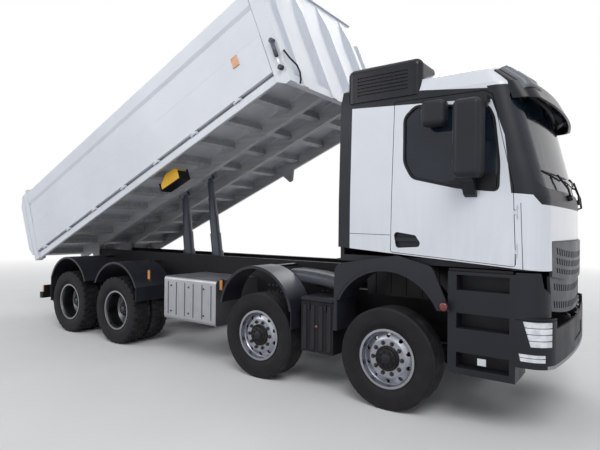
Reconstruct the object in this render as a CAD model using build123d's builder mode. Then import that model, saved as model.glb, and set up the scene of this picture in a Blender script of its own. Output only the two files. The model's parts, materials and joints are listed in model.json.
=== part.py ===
from build123d import *
import os
from math import cos, hypot, radians, sin, sqrt

os.makedirs("parts", exist_ok=True)

# Four-axle tipper truck, load bed raised. +X is forward, +Y the truck's left, +Z up, millimetres.

# Driving dimensions: running gear
front_axle_x = 2983.3
first_pair_gap = 1700.0
long_gap = 2850.0
bogie_gap = 1350.0
axle_2_x = front_axle_x - first_pair_gap
axle_3_x = axle_2_x - long_gap
axle_4_x = axle_3_x - bogie_gap

wheel_radius = 512.0
tyre_half_width = 150.0
tread_half_width = 130.0
shoulder_radius = 488.0
bulge_radius = 400.0
bead_radius = 286.0
bead_half_width = 112.0
seat_gap = 0.3
rim_radius = bead_radius - seat_gap
rim_wall = 15.0
flange_radius = 301.0
flange_half_width = 124.0

steered_wheel_y = 1020.0
kingpin_offset = 150.0
kingpin_y = steered_wheel_y - kingpin_offset
twin_inner_y = 745.0
twin_outer_y = 1080.0
twin_mid_y = (twin_inner_y + twin_outer_y) / 2

spindle_radius = 48.0
drum_radius = 205.0
drum_wall = 18.0
boss_radius = 42.0
boss_half_height = 60.0
ear_height = 34.0
upright_gap = 8.0
upright_thickness = 28.0
beam_depth = 90.0
beam_height = 104.0
beam_drop = 95.0
beam_flat_half = 560.0

# Driving dimensions: frame
frame_half_width = 385.0
rail_flange = 80.0
rail_height = 270.0
rail_wall = 10.0
frame_top = 1080.0
frame_bottom = frame_top - rail_height
rail_y = frame_half_width - rail_flange / 2
frame_front_x = front_axle_x + 1450.0
frame_rear_x = front_axle_x - 6650.0
crossmember_radius = 55.0

subframe_top = 1380.0
subframe_wall = 12.0
subframe_front_x = front_axle_x - 790.0
subframe_rear_x = front_axle_x - 6290.0

# Driving dimensions: bed, held at its angle in the rest pose
bed_angle = 22.6
tip_x = front_axle_x - 6400.0
tip_z = 1250.0
tip_pin_radius = 35.0
rest_gap = 8.0
bed_half_width = 1275.0
beam_n = subframe_top + rest_gap - tip_z
floor_thickness = 12.0
floor_n = 345.0
board_bottom_n = 277.0
board_top_n = 1428.0
board_thickness = 45.0
board_rear_u = -390.0
board_front_u = 5515.0
board_hinge_n = 252.0
board_hinge_y = bed_half_width - 7.0
edge_rail_y = bed_half_width - 20.0
edge_rail_width = 45.0
edge_rail_top_n = 232.0
post_rear_u = -550.0
headboard_u = 5640.0
headboard_front_u = 5715.0
headboard_top_n = 1900.0
headboard_low_n = 45.0
headboard_crease_n = 1380.0
headboard_plate = 12.0
gate_gap = 10.0
gate_thickness = 130.0
gate_hinge_u = -475.0
gate_hinge_n = 1490.0
end_gap = 10.0

# Driving dimensions: lift rams on the centreline
ram_base_z = 720.0
ram_pin_n = 262.0
ram_gap = 0.5
ram_wall = 11.5
barrel_radius = 100.0
cheek_y = 66.0
# name, base x, u of the top pin on the bed, number of moving stages
rams = [
    ("front", front_axle_x - 3465.0, 2968.0, 4),
    ("rear", front_axle_x - 4171.0, 2316.0, 3),
]

# Driving dimensions: cab
cab_wall = 45.0
cab_pivot_x = front_axle_x + 1505.0
cab_pivot_z = 995.0
cab_pin_radius = 14.0
bumper_top_z = 985.0
arm_y = 275.0
arm_width = 40.0
door_gap = 6.0
door_face_y = 1150.0
grip_depth = 32.0
door_front_gap = 12.0
door_axis_x = front_axle_x + 1222.0
door_axis_y = 1138.0
glass_inset = 15.0
glass_thickness = 6.0
grille_half_width = 940.0
panel_gap = 20.0


def save(piece, name):
    piece.part.label = name
    export_step(piece.part, f"parts/{name}.step")


def bed_point(u, n, angle=bed_angle):
    """World x and z of a point of the bed, u along the floor and n square to it."""
    a = radians(angle)
    return tip_x + u * cos(a) - n * sin(a), tip_z + u * sin(a) + n * cos(a)


bed_cos = cos(radians(bed_angle))
bed_sin = sin(radians(bed_angle))


def bed_side(y):
    """Sketch plane along the bed: u to the right, n up, facing -Y, at the given y."""
    return Plane(origin=(tip_x, y, tip_z), x_dir=(bed_cos, 0, bed_sin), z_dir=(0, -1, 0))


def bed_section(u):
    """Sketch plane across the bed at u: y to the right, n up."""
    x, z = bed_point(u, 0)
    return Plane(origin=(x, 0, z), x_dir=(0, 1, 0), z_dir=(bed_cos, 0, bed_sin))


def side_plane(y):
    """World sketch plane: x to the right, z up, facing -Y."""
    return Plane(origin=(0, y, 0), x_dir=(1, 0, 0), z_dir=(0, -1, 0))


# Wheels
sides = [("right", -1), ("left", 1)]


def wheel_profile(x, side):
    """Sketch plane for a revolve: radius to the right, distance from the centreline up."""
    return Plane(origin=(x, 0, wheel_radius), x_dir=(1, 0, 0), z_dir=(0, 0, side))


def wheel_axis(x):
    return Axis((x, 0, wheel_radius), (0, 1, 0))


tyre_points = [
    (bead_radius, -bead_half_width),
    (bead_radius, bead_half_width),
    (flange_radius + 3, bead_half_width),
    (bulge_radius, tyre_half_width),
    (shoulder_radius, tyre_half_width - 4),
    (wheel_radius, tread_half_width),
    (wheel_radius, -tread_half_width),
    (shoulder_radius, -tyre_half_width + 4),
    (bulge_radius, -tyre_half_width),
    (flange_radius + 3, -bead_half_width),
]
rim_inner = rim_radius - rim_wall
disc_radius = 194.0
hub_radius = 128.0
lip = bead_half_width + seat_gap

# radius and place from the tyre's centre plane, outward positive
single_rim_points = [
    (flange_radius, -flange_half_width),
    (flange_radius, -lip),
    (rim_radius, -lip),
    (rim_radius, lip),
    (flange_radius, lip),
    (flange_radius, flange_half_width),
    (rim_inner + 6, flange_half_width),
    (rim_inner, 62),
    (rim_inner - 8, 52),
    (disc_radius, 92),
    (hub_radius - 5, 92),
    (hub_radius - 5, 70),
    (disc_radius - 8, 70),
    (rim_inner - 18, 30),
    (rim_inner, 22),
    (rim_inner, -100),
    (rim_inner + 6, -flange_half_width),
]
single_hub_points = [
    (0, 116),
    (hub_radius - 14, 116),
    (hub_radius, 104),
    (hub_radius, 20),
    (drum_radius, 20),
    (drum_radius, -64),
    (drum_radius - drum_wall, -64),
    (drum_radius - drum_wall, 2),
    (spindle_radius + seat_gap, 2),
    (spindle_radius + seat_gap, 90),
    (0, 90),
]
# radius and distance from the truck's centreline
twin_rim_points = [
    (flange_radius, twin_outer_y + flange_half_width),
    (rim_inner + 6, twin_outer_y + flange_half_width),
    (rim_inner, twin_outer_y + 100),
    (rim_inner, twin_mid_y + 78),
    (222, twin_mid_y + 17),
    (90, twin_mid_y + 17),
    (90, twin_mid_y - 17),
    (222, twin_mid_y - 17),
    (rim_inner, twin_mid_y - 78),
    (rim_inner, twin_inner_y - 100),
    (rim_inner + 6, twin_inner_y - flange_half_width),
    (flange_radius, twin_inner_y - flange_half_width),
    (flange_radius, twin_inner_y - lip),
    (rim_radius, twin_inner_y - lip),
    (rim_radius, twin_inner_y + lip),
    (flange_radius, twin_inner_y + lip),
    (flange_radius, twin_inner_y + flange_half_width),
    (rim_radius, twin_inner_y + flange_half_width),
    (242, twin_mid_y - 5),
    (242, twin_mid_y + 5),
    (rim_radius, twin_outer_y - flange_half_width),
    (flange_radius, twin_outer_y - flange_half_width),
    (flange_radius, twin_outer_y - lip),
    (rim_radius, twin_outer_y - lip),
    (rim_radius, twin_outer_y + lip),
    (flange_radius, twin_outer_y + lip),
]
twin_hub_face = 1075.0
twin_spindle_end = 1004.0
twin_hub_points = [
    (0, twin_hub_face),
    (85, twin_hub_face),
    (100, twin_hub_face - 15),
    (100, twin_mid_y - 30),
    (drum_radius, twin_mid_y - 30),
    (drum_radius, 640),
    (drum_radius - drum_wall, 640),
    (drum_radius - drum_wall, twin_mid_y - 50),
    (spindle_radius + seat_gap, twin_mid_y - 50),
    (spindle_radius + seat_gap, twin_spindle_end + seat_gap),
    (0, twin_spindle_end + seat_gap),
]
hand_hole_radius = 22.0
hand_hole_circle = 232.0
hand_hole_count = 10

steered_axles = [(1, front_axle_x), (2, axle_2_x)]
drive_axle_table = [(3, axle_3_x), (4, axle_4_x)]

for number, x in steered_axles:
    for word, side in sides:
        with BuildPart() as tyre:
            with BuildSketch(wheel_profile(x, side)):
                Polygon(*[(r, s + steered_wheel_y) for r, s in tyre_points], align=None)
            revolve(axis=wheel_axis(x), revolution_arc=360)
        save(tyre, f"tyre_{number}_{word}")

        with BuildPart() as rim:
            for points in (single_rim_points, single_hub_points):
                with BuildSketch(wheel_profile(x, side)):
                    Polygon(*[(r, s + steered_wheel_y) for r, s in points], align=None)
                revolve(axis=wheel_axis(x), revolution_arc=360)
            outer_face = Plane(origin=(x, side * (steered_wheel_y + 30), wheel_radius), z_dir=(0, side, 0))
            with BuildSketch(outer_face):
                with PolarLocations(hand_hole_circle, hand_hole_count):
                    Circle(hand_hole_radius)
            extrude(amount=100, mode=Mode.SUBTRACT)
        save(rim, f"rim_{number}_{word}")

        with BuildPart(Plane(origin=(x, side * kingpin_y, wheel_radius))) as knuckle:
            ear_z = boss_half_height + seat_gap + ear_height / 2
            reach = boss_radius + upright_gap + upright_thickness
            for z in (-ear_z, ear_z):
                with Locations((0, 0, z)):
                    Cylinder(boss_radius, ear_height)
                with Locations((0, side * reach / 2, z)):
                    Box(boss_radius * 2, reach, ear_height)
            with Locations((0, side * (reach - upright_thickness / 2), 0)):
                Box(boss_radius * 2 + 12, upright_thickness, 2 * ear_z + ear_height)
            spindle_end = kingpin_offset + 90 - seat_gap
            with Locations((0, side * (reach + spindle_end) / 2, 0)):
                Cylinder(spindle_radius, spindle_end - reach, rotation=(90, 0, 0))
        save(knuckle, f"knuckle_{number}_{word}")

for number, x in drive_axle_table:
    for word, side in sides:
        with BuildPart() as tyre:
            for centre in (twin_inner_y, twin_outer_y):
                with BuildSketch(wheel_profile(x, side)):
                    Polygon(*[(r, s + centre) for r, s in tyre_points], align=None)
                revolve(axis=wheel_axis(x), revolution_arc=360)
        save(tyre, f"tyre_{number}_{word}")

        with BuildPart() as rim:
            for points in (twin_rim_points, twin_hub_points):
                with BuildSketch(wheel_profile(x, side)):
                    Polygon(*points, align=None)
                revolve(axis=wheel_axis(x), revolution_arc=360)
        save(rim, f"rim_{number}_{word}")

# Axles and springs
with BuildPart() as steered_axle_beams:
    for number, x in steered_axles:
        beam_plane = Plane(origin=(x - beam_depth / 2, 0, wheel_radius), x_dir=(0, 1, 0), z_dir=(1, 0, 0))
        with BuildSketch(beam_plane):
            half = beam_height / 2
            end = kingpin_y - boss_radius / 2
            bend = -beam_flat_half - 90
            upper = [(-end, half - 8), (bend, half - 8), (-beam_flat_half, half - beam_drop)]
            lower = [(-end, -half + 8), (bend, -half + 8), (-beam_flat_half, -half - beam_drop)]
            outline = upper + [(-a, b) for a, b in reversed(upper)]
            outline += [(-a, b) for a, b in lower] + list(reversed(lower))
            Polygon(*outline, align=None)
        extrude(amount=beam_depth)
        for side in (-1, 1):
            with Locations((x, side * kingpin_y, wheel_radius)):
                Cylinder(boss_radius, 2 * boss_half_height)
save(steered_axle_beams, "steered_axle_beams")

axle_tube_radius = 75.0
axle_tube_end = 610.0
banjo_radius = 185.0
shaft_radius = 38.0
gearbox_rear_x = front_axle_x - 880.0
shaft_front_z = 640.0
with BuildPart() as drive_axles:
    for number, x in drive_axle_table:
        with Locations((x, 0, wheel_radius)):
            Cylinder(axle_tube_radius, 2 * axle_tube_end, rotation=(90, 0, 0))
            Cylinder(spindle_radius, 2 * twin_spindle_end, rotation=(90, 0, 0))
            Cylinder(banjo_radius, 190, rotation=(0, 90, 0))
        with Locations((x + 150, 0, wheel_radius)):
            Cone(60, 120, 150, rotation=(0, -90, 0))
    shaft_runs = [
        (gearbox_rear_x - 2, shaft_front_z, axle_3_x + 200, wheel_radius),
        (axle_3_x - 60, wheel_radius, axle_4_x + 200, wheel_radius),
    ]
    for x_front, z_front, x_rear, z_rear in shaft_runs:
        length = hypot(x_front - x_rear, z_front - z_rear)
        direction = (x_rear - x_front, 0, z_rear - z_front)
        with BuildSketch(Plane(origin=(x_front, 0, z_front), z_dir=direction)):
            Circle(shaft_radius)
        extrude(amount=length)
save(drive_axles, "drive_axles")

spring_width = 76.0
spring_thickness = 56.0
front_spring_half = 690.0
front_spring_rise = 150.0
rear_spring_half = bogie_gap / 2
rear_spring_thickness = 110.0
rear_spring_centre_z = 705.0
spring_tip = 50.0
spring_seat_rise = 2.0
spring_tip_thickness = 30.0
beam_top_z = wheel_radius + beam_height / 2 - beam_drop
with BuildPart() as leaf_springs:
    for side in (-1, 1):
        for number, x in steered_axles:
            with BuildSketch(side_plane(side * rail_y + spring_width / 2)):
                with BuildLine():
                    low = beam_top_z + seat_gap
                    a = ThreePointArc(
                        (x - front_spring_half, low + front_spring_rise),
                        (x, low),
                        (x + front_spring_half, low + front_spring_rise),
                    )
                    b = ThreePointArc(
                        (x + front_spring_half, low + front_spring_rise + 16),
                        (x, low + spring_thickness),
                        (x - front_spring_half, low + front_spring_rise + 16),
                    )
                    Line(a @ 1, b @ 0)
                    Line(b @ 1, a @ 0)
                make_face()
            extrude(amount=spring_width)
        bogie_x = (axle_3_x + axle_4_x) / 2
        with BuildSketch(side_plane(side * rail_y + spring_width / 2)):
            with BuildLine():
                high = rear_spring_centre_z + rear_spring_thickness / 2
                low = high - rear_spring_thickness
                rise = low - (wheel_radius + axle_tube_radius + spring_seat_rise)
                bend = (rear_spring_half**2 + rise**2) / (2 * rise)
                half = rear_spring_half + spring_tip
                tip_z_low = low - bend + sqrt(bend**2 - half**2)
                a = ThreePointArc((bogie_x - half, tip_z_low), (bogie_x, low), (bogie_x + half, tip_z_low))
                b = ThreePointArc(
                    (bogie_x + half, tip_z_low + spring_tip_thickness),
                    (bogie_x, high),
                    (bogie_x - half, tip_z_low + spring_tip_thickness),
                )
                Line(a @ 1, b @ 0)
                Line(b @ 1, a @ 0)
            make_face()
        extrude(amount=spring_width)
save(leaf_springs, "leaf_springs")

# Chassis frame and subframe
hanger_length = 60.0
jaw_length = 210.0
jaw_width = 150.0
jaw_z = 940.0
jaw_slot_depth = 120.0
jaw_slot_height = 80.0
jaw_pin_x = 160.0
jaw_pin_radius = 20.0
crossmember_places = [1100.0, -2000.0, -3000.0, -3920.0, -5225.0, -6000.0]
with BuildPart() as chassis_frame:
    with BuildSketch(Plane.YZ.offset(frame_rear_x)):
        for side in (-1, 1):
            with Locations((side * rail_y, frame_top - rail_height / 2)):
                Rectangle(rail_flange, rail_height)
            with Locations((side * (rail_y - rail_wall), frame_top - rail_height / 2)):
                Rectangle(rail_flange, rail_height - 2 * rail_wall, mode=Mode.SUBTRACT)
    extrude(amount=frame_front_x - frame_rear_x)
    for place in crossmember_places:
        with Locations((front_axle_x + place, 0, frame_top - rail_height / 2)):
            Cylinder(crossmember_radius, 2 * (frame_half_width - rail_wall), rotation=(90, 0, 0))
    for x in (frame_rear_x + 8,):
        with Locations((x, 0, frame_top - rail_height / 2)):
            Box(16, 2 * frame_half_width, rail_height)
    spring_eye_z = beam_top_z + front_spring_rise + seat_gap
    for number, x in steered_axles:
        for end in (-1, 1):
            for side in (-1, 1):
                top = frame_bottom
                bottom = spring_eye_z + 16 + seat_gap
                hanger_x = x + end * (front_spring_half - hanger_length / 2)
                with Locations((hanger_x, side * rail_y, (top + bottom) / 2)):
                    Box(hanger_length, rail_flange, top - bottom)
    for side in (-1, 1):
        bottom = rear_spring_centre_z + rear_spring_thickness / 2 + seat_gap
        with Locations((bogie_x, side * rail_y, (frame_bottom + bottom) / 2)):
            Box(260, rail_flange, frame_bottom - bottom)
        with BuildSketch(side_plane(side * (frame_half_width - rail_wall / 2) + rail_wall / 2)):
            Polygon(
                (frame_front_x - 30, frame_bottom + 60),
                (cab_pivot_x + 10, cab_pivot_z - 26),
                (cab_pivot_x + 24, cab_pivot_z - 10),
                (cab_pivot_x + 24, cab_pivot_z + 10),
                (cab_pivot_x + 10, cab_pivot_z + 26),
                (frame_front_x - 30, cab_pivot_z + 40),
                align=None,
            )
            with Locations((cab_pivot_x, cab_pivot_z)):
                Circle(cab_pin_radius + seat_gap, mode=Mode.SUBTRACT)
        extrude(amount=rail_wall)
    # towing jaw, open to the rear and the sides, with its pin bore
    with Locations((frame_rear_x - jaw_length / 2, 0, jaw_z)):
        Box(jaw_length, jaw_width, jaw_width)
    with Locations((frame_rear_x - jaw_length + jaw_slot_depth / 2, 0, jaw_z)):
        Box(jaw_slot_depth, jaw_width, jaw_slot_height, mode=Mode.SUBTRACT)
    with Locations((frame_rear_x - jaw_pin_x, 0, jaw_z)):
        Cylinder(jaw_pin_radius, jaw_width, mode=Mode.SUBTRACT)
save(chassis_frame, "chassis_frame")

hanger_plate_y = 135.0
hanger_plate_thickness = 15.0
trunnion_radius = 30.0
subframe_places = [-900.0, -2100.0, -3120.0, -3925.0, -4720.0, -5600.0, -6200.0]
with BuildPart() as subframe:
    with BuildSketch(Plane.YZ.offset(subframe_rear_x)):
        for side in (-1, 1):
            mid = (subframe_top + frame_top) / 2
            with Locations((side * rail_y, mid)):
                Rectangle(rail_flange, subframe_top - frame_top)
            with Locations((side * (rail_y - subframe_wall), mid)):
                Rectangle(rail_flange, subframe_top - frame_top - 2 * subframe_wall, mode=Mode.SUBTRACT)
    extrude(amount=subframe_front_x - subframe_rear_x)
    for place in subframe_places:
        with Locations((front_axle_x + place, 0, (subframe_top + frame_top) / 2)):
            Cylinder(crossmember_radius, 2 * (frame_half_width - subframe_wall), rotation=(90, 0, 0))
    # hanger plates that carry the ram trunnions below the crossmembers
    for side in (-1, 1):
        for name, base_x, top_u, stages in rams:
            y = side * (hanger_plate_y + hanger_plate_thickness / 2) + hanger_plate_thickness / 2
            reach = 455.0
            with BuildSketch(side_plane(y)):
                Polygon(
                    (base_x - 80, ram_base_z),
                    (base_x - 40, ram_base_z - 60),
                    (base_x + 40, ram_base_z - 60),
                    (base_x + 80, ram_base_z),
                    (base_x + 150, 1080),
                    (front_axle_x - 3070 if name == "front" else front_axle_x - 3880, 1200),
                    (front_axle_x - 3070 if name == "front" else front_axle_x - 3880, 1260),
                    (front_axle_x - 3970 if name == "front" else front_axle_x - 4765, 1260),
                    (front_axle_x - 3970 if name == "front" else front_axle_x - 4765, 1200),
                    (base_x - 150, 1080),
                    align=None,
                )
                with Locations((base_x, ram_base_z)):
                    Circle(trunnion_radius + seat_gap, mode=Mode.SUBTRACT)
            extrude(amount=hanger_plate_thickness)
    # tipping lugs at the rear end of each rail
    for side in (-1, 1):
        with BuildSketch(side_plane(side * rail_y + rail_flange / 2)):
            Polygon(
                (subframe_rear_x + 20, frame_top),
                (subframe_rear_x + 20, subframe_top),
                (tip_x + 20, tip_z + 80),
                (tip_x - 60, tip_z + 30),
                (tip_x - 60, frame_top),
                align=None,
            )
            with Locations((tip_x, tip_z)):
                Circle(tip_pin_radius + seat_gap, mode=Mode.SUBTRACT)
        extrude(amount=rail_flange)
save(subframe, "subframe")

# Chassis equipment
engine_half_width = 290.0
with BuildPart() as engine_block:
    with Locations((front_axle_x + 250, 0, 945)):
        Box(1200, 2 * engine_half_width, 750)
        Box(120, 2 * (frame_half_width - rail_wall - seat_gap), 60)
    with Locations((front_axle_x - 615, 0, 800)):
        Box(530, 400, 400)
save(engine_block, "engine_block")

side_face_y = 1200.0
box_rear_x = front_axle_x - 3390.0
box_front_x = front_axle_x - 2370.0
flute_count = 6
flute_width = 26.0
flute_depth = 12.0
flute_height = 450.0
with BuildPart() as silencer_box:
    inner_y = frame_half_width + seat_gap
    with Locations(((box_rear_x + box_front_x) / 2, -(side_face_y + inner_y) / 2, 828)):
        Box(box_front_x - box_rear_x, side_face_y - inner_y, 596)
    fillet(silencer_box.edges().filter_by(Axis.X), 45)
    for index in range(flute_count):
        x = box_rear_x + (index + 0.5) * (box_front_x - box_rear_x) / flute_count
        with Locations((x, -side_face_y, 828)):
            Box(flute_width, 2 * flute_depth, flute_height, mode=Mode.SUBTRACT)
save(silencer_box, "silencer_box")

locker_rear_x = front_axle_x - 1050.0
locker_front_x = front_axle_x - 625.0
locker_inner_y = 700.0
locker_outer_y = 1150.0
with BuildPart() as tanks:
    with Locations(((box_rear_x + box_front_x) / 2, (side_face_y + inner_y) / 2, 800)):
        Box(box_front_x - box_rear_x, side_face_y - inner_y, 620)
    fillet(tanks.edges().filter_by(Axis.X), 90)
    for side in (-1, 1):
        locker_x = (locker_rear_x + locker_front_x) / 2
        with Locations((locker_x, side * (locker_inner_y + locker_outer_y) / 2, 720)):
            Box(locker_front_x - locker_rear_x, locker_outer_y - locker_inner_y, 560)
        with Locations((locker_x, side * (locker_inner_y + 1 + inner_y) / 2, 920)):
            Box(120, locker_inner_y + 1 - inner_y, 80)
save(tanks, "tanks")

fender_wall = 10.0
lip_width = 14.0
lip_depth = 34.0
stay_radius = 20.0
step_rear_x = front_axle_x + 625.0
step_face_y = 1150.0
# x of the arc's middle, rear half, front half, z of the ends, z of the crown, inner y, outer y,
# z of the rear leg's foot, z of the front leg's foot
fender_table = [
    (front_axle_x, 575.0, 560.0, 1060.0, 1430.0, 760.0, step_face_y + 20, 725.0, 0.0),
    (axle_2_x, 560.0, 570.0, 870.0, 1360.0, 860.0, 1235.0, 0.0, 668.0),
    (axle_3_x, 540.0, 560.0, 900.0, 1262.0, 600.0, 1240.0, 0.0, 700.0),
    (axle_4_x, 560.0, 540.0, 900.0, 1278.0, 600.0, 1240.0, 480.0, 0.0),
]
flare_outline = [
    (-611, 725),
    (-600, 1440),
    (120, 1562),
    (480, 1470),
    (654, 1068),
    (560, 1060),
    (-575, 1060),
    (-575, 725),
]


def arch_band(x, rear, front, end_z, crown_z, thickness):
    """Edges of a mudguard's curved sheet, seen from the side."""
    with BuildLine() as band:
        a = ThreePointArc((x - rear, end_z), (x, crown_z), (x + front, end_z))
        b = ThreePointArc(
            (x + front - thickness, end_z), (x, crown_z - thickness), (x - rear + thickness, end_z)
        )
        Line(a @ 1, b @ 0)
        Line(b @ 1, a @ 0)
    return band.edges()


def arch_opening(x, rear, front, end_z, crown_z):
    """Edges of the opening below a mudguard, seen from the side."""
    with BuildLine() as opening:
        arc = ThreePointArc((x - rear, end_z), (x, crown_z), (x + front, end_z))
        Line(arc @ 1, arc @ 0)
    return opening.edges()


with BuildPart() as fenders:
    for x, rear, front, end_z, crown_z, inner_y, outer_y, rear_foot, front_foot in fender_table:
        for side in (-1, 1):
            sheets = [(inner_y, outer_y, fender_wall), (outer_y - lip_width, outer_y, lip_depth)]
            for low_y, high_y, thickness in sheets:
                with BuildSketch(side_plane(max(side * low_y, side * high_y))):
                    make_face(arch_band(x, rear, front, end_z, crown_z, thickness))
                extrude(amount=high_y - low_y)
            legs = [(x - rear + fender_wall / 2, rear_foot), (x + front - fender_wall / 2, front_foot)]
            for leg_x, foot in legs:
                if foot:
                    with Locations((leg_x, side * (inner_y + outer_y) / 2, (end_z + foot) / 2 + 5)):
                        Box(fender_wall, outer_y - inner_y, end_z - foot + 10)
            if x < front_axle_x:
                low_y = frame_half_width + seat_gap
                high_y = outer_y - 60
                with Locations((x, side * (low_y + high_y) / 2, crown_z - fender_wall - stay_radius + 2)):
                    Cylinder(stay_radius, high_y - low_y, rotation=(90, 0, 0))
            else:
                # flared panel on the outside of the front arch, laid on the step panel's face
                face_y = step_face_y + seat_gap
                with BuildSketch(side_plane(max(side * face_y, side * (outer_y + 4)))) as flare:
                    Polygon(*[(x + a, z) for a, z in flare_outline], align=None)
                    upper = flare.vertices().filter_by_position(Axis.Y, 1400, 1600)
                    fillet(upper, 110)
                    make_face(arch_opening(x, rear, front, end_z - 1, crown_z), mode=Mode.SUBTRACT)
                extrude(amount=outer_y + 4 - face_y)
save(fenders, "fenders")

bumper_rear_x = front_axle_x + 1215.0
bumper_wall = 20.0
bumper_half_width = 1150.0
corner_radius = 200.0
bumper_low_z = 650.0
bumper_corner_z = 1075.0
bumper_edge_x = front_axle_x + 1480.0
bumper_mid_x = front_axle_x + 1570.0
panel_top_z = 1460.0
panel_set_back = 45.0
groove_z = 1056.0
groove_height = 8.0
groove_depth = 8.0


def place(points):
    return [(front_axle_x + x, z) for x, z in points]


def nose(edge_x, mid_x, half_width, rear_x, inset):
    """Edges of the nose in plan: straight sides and a bowed front, drawn in by inset."""
    with BuildLine() as outline:
        front = ThreePointArc(
            (edge_x - inset, -half_width + inset), (mid_x - inset, 0), (edge_x - inset, half_width - inset)
        )
        Polyline(front @ 1, (rear_x, half_width - inset), (rear_x, -half_width + inset), front @ 0)
    return outline.edges()


def nose_shell(outer_inset, inner_inset, low_z, high_z, set_back=0.0):
    """Upright shell that follows the bumper's plan, between two insets."""
    with BuildPart() as shell:
        for inset, rear_x, mode in (
            (outer_inset, bumper_rear_x, Mode.ADD),
            (inner_inset, bumper_rear_x - 1, Mode.SUBTRACT),
        ):
            with BuildSketch(Plane.XY.offset(low_z)) as plan:
                edge_x = bumper_edge_x - set_back
                make_face(nose(edge_x, bumper_mid_x - set_back, bumper_half_width, rear_x, inset))
                fillet(plan.vertices().sort_by(Axis.X)[-2:], corner_radius - inset)
            extrude(amount=high_z - low_z, mode=mode)
    return shell.part


def corner_panels():
    """Panels above the bumper's corners, cut back beside the lower grille."""
    with BuildPart() as panels:
        add(nose_shell(0, bumper_wall, bumper_corner_z, panel_top_z, panel_set_back))
        with BuildSketch(Plane.YZ.offset(bumper_rear_x - 1)):
            Polygon(
                *[(-y, z) for y, z in panel_edge],
                *reversed(panel_edge),
                align=None,
            )
        extrude(amount=bumper_mid_x - bumper_rear_x + 1, mode=Mode.SUBTRACT)
    return panels.part


def lamp_lens(side, outline, inner_y, strips):
    """Lens that fills a lamp opening, with dark gaps sunk between its bright strips."""
    with BuildPart() as lens:
        add(nose_shell(lens_inset, lens_depth, strips[0][0], strips[-1][1]))
        low_y = side * (inner_y + seat_gap)
        with BuildSketch(side_plane(max(low_y, side * (inner_y + lamp_depth)))):
            Polygon(*place(outline), align=None)
            offset(amount=-seat_gap, kind=Kind.INTERSECTION, mode=Mode.REPLACE)
        extrude(amount=lamp_depth - seat_gap, mode=Mode.INTERSECT)
        for (low, top), (bottom, high) in zip(strips, strips[1:]):
            add(nose_shell(-5, lens_depth - lens_back, top, bottom), mode=Mode.SUBTRACT)
    return lens.part


# side outline of the lamp opening, inner y, and its bright strips as z low and z high
lamp_table = [
    (
        [(1272, 1048), (1335, 836), (1620, 836), (1620, 1048)],
        1036.0,
        [(836, 884), (892, 938), (946, 992), (1000, 1048)],
    ),
    ([(1240, 772), (1255, 706), (1620, 706), (1620, 772)], 1092.0, [(706, 736), (743, 772)]),
]
lamp_depth = 200.0
lens_inset = 4.0
lens_depth = 40.0
lens_back = 14.0
panel_edge = [(960, bumper_corner_z), (960, 1255), (1070, 1335), (1092, panel_top_z)]

with BuildPart() as bumper:
    add(nose_shell(0, bumper_wall, bumper_low_z, bumper_corner_z))
    # the middle is lower than the corners, so that the cab's nose can swing past it
    with Locations((bumper_mid_x, 0, (bumper_top_z + bumper_corner_z) / 2)):
        Box(
            2 * (bumper_mid_x - bumper_rear_x),
            2 * (grille_half_width + panel_gap),
            bumper_corner_z - bumper_top_z,
            mode=Mode.SUBTRACT,
        )
    add(corner_panels())
    # lamp openings wrap round the corners, with a brow groove above
    for side in (-1, 1):
        for outline, inner_y, strips in lamp_table:
            with BuildSketch(side_plane(max(side * inner_y, side * (inner_y + lamp_depth)))):
                Polygon(*place(outline), align=None)
            extrude(amount=lamp_depth, mode=Mode.SUBTRACT)
    add(nose_shell(-5, groove_depth, groove_z, groove_z + groove_height), mode=Mode.SUBTRACT)
    # recess for the number plate, left blank
    with Locations((bumper_mid_x, 0, 830)):
        Box(24, 560, 130, mode=Mode.SUBTRACT)
    # seats on the front ends of the rails
    for side in (-1, 1):
        seat_x = frame_front_x + seat_gap
        with Locations(((seat_x + bumper_mid_x - 25) / 2, side * rail_y, frame_bottom + 50)):
            Box(bumper_mid_x - 25 - seat_x, 60, 80)
save(bumper, "bumper")

step_inner_y = 720.0
step_low_z = 500.0
step_high_z = 1440.0
tread_heights = (560.0, 920.0, 1270.0)
well_height = 140.0
well_depth = 150.0
with BuildPart() as step_boxes:
    for side in (-1, 1):
        width = bumper_rear_x - step_rear_x - 2 * seat_gap
        middle_x = (step_rear_x + bumper_rear_x) / 2
        with Locations((middle_x, side * (step_face_y + step_inner_y) / 2, (step_low_z + step_high_z) / 2)):
            Box(width, step_face_y - step_inner_y, step_high_z - step_low_z)
        # foot wells above each tread
        for tread_z in tread_heights:
            with Locations((middle_x + 15, side * step_face_y, tread_z + well_height / 2)):
                Box(width - 130, 2 * well_depth, well_height, mode=Mode.SUBTRACT)
save(step_boxes, "step_boxes")

lamp_y = 940.0
underrun_x = frame_rear_x - 280.0
underrun_z = 530.0
underrun_height = 110.0
with BuildPart() as underrun_bar:
    with Locations((underrun_x, 0, underrun_z)):
        Box(100, 2350, underrun_height)
    fillet(underrun_bar.edges().filter_by(Axis.Y), 12)
    for side in (-1, 1):
        with BuildSketch(side_plane(side * rail_y + 30)):
            Polygon(
                (frame_rear_x + 260, frame_bottom),
                (frame_rear_x + 20, frame_bottom),
                (underrun_x + 40, underrun_z + underrun_height / 2 - 5),
                (underrun_x + 40, underrun_z - underrun_height / 2 + 5),
                (underrun_x + 120, underrun_z - underrun_height / 2 + 5),
                align=None,
            )
        extrude(amount=60)
        with Locations((underrun_x + 30, side * lamp_y, underrun_z + underrun_height / 2 + 60)):
            Box(20, 400, 130)
save(underrun_bar, "underrun_bar")

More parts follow.
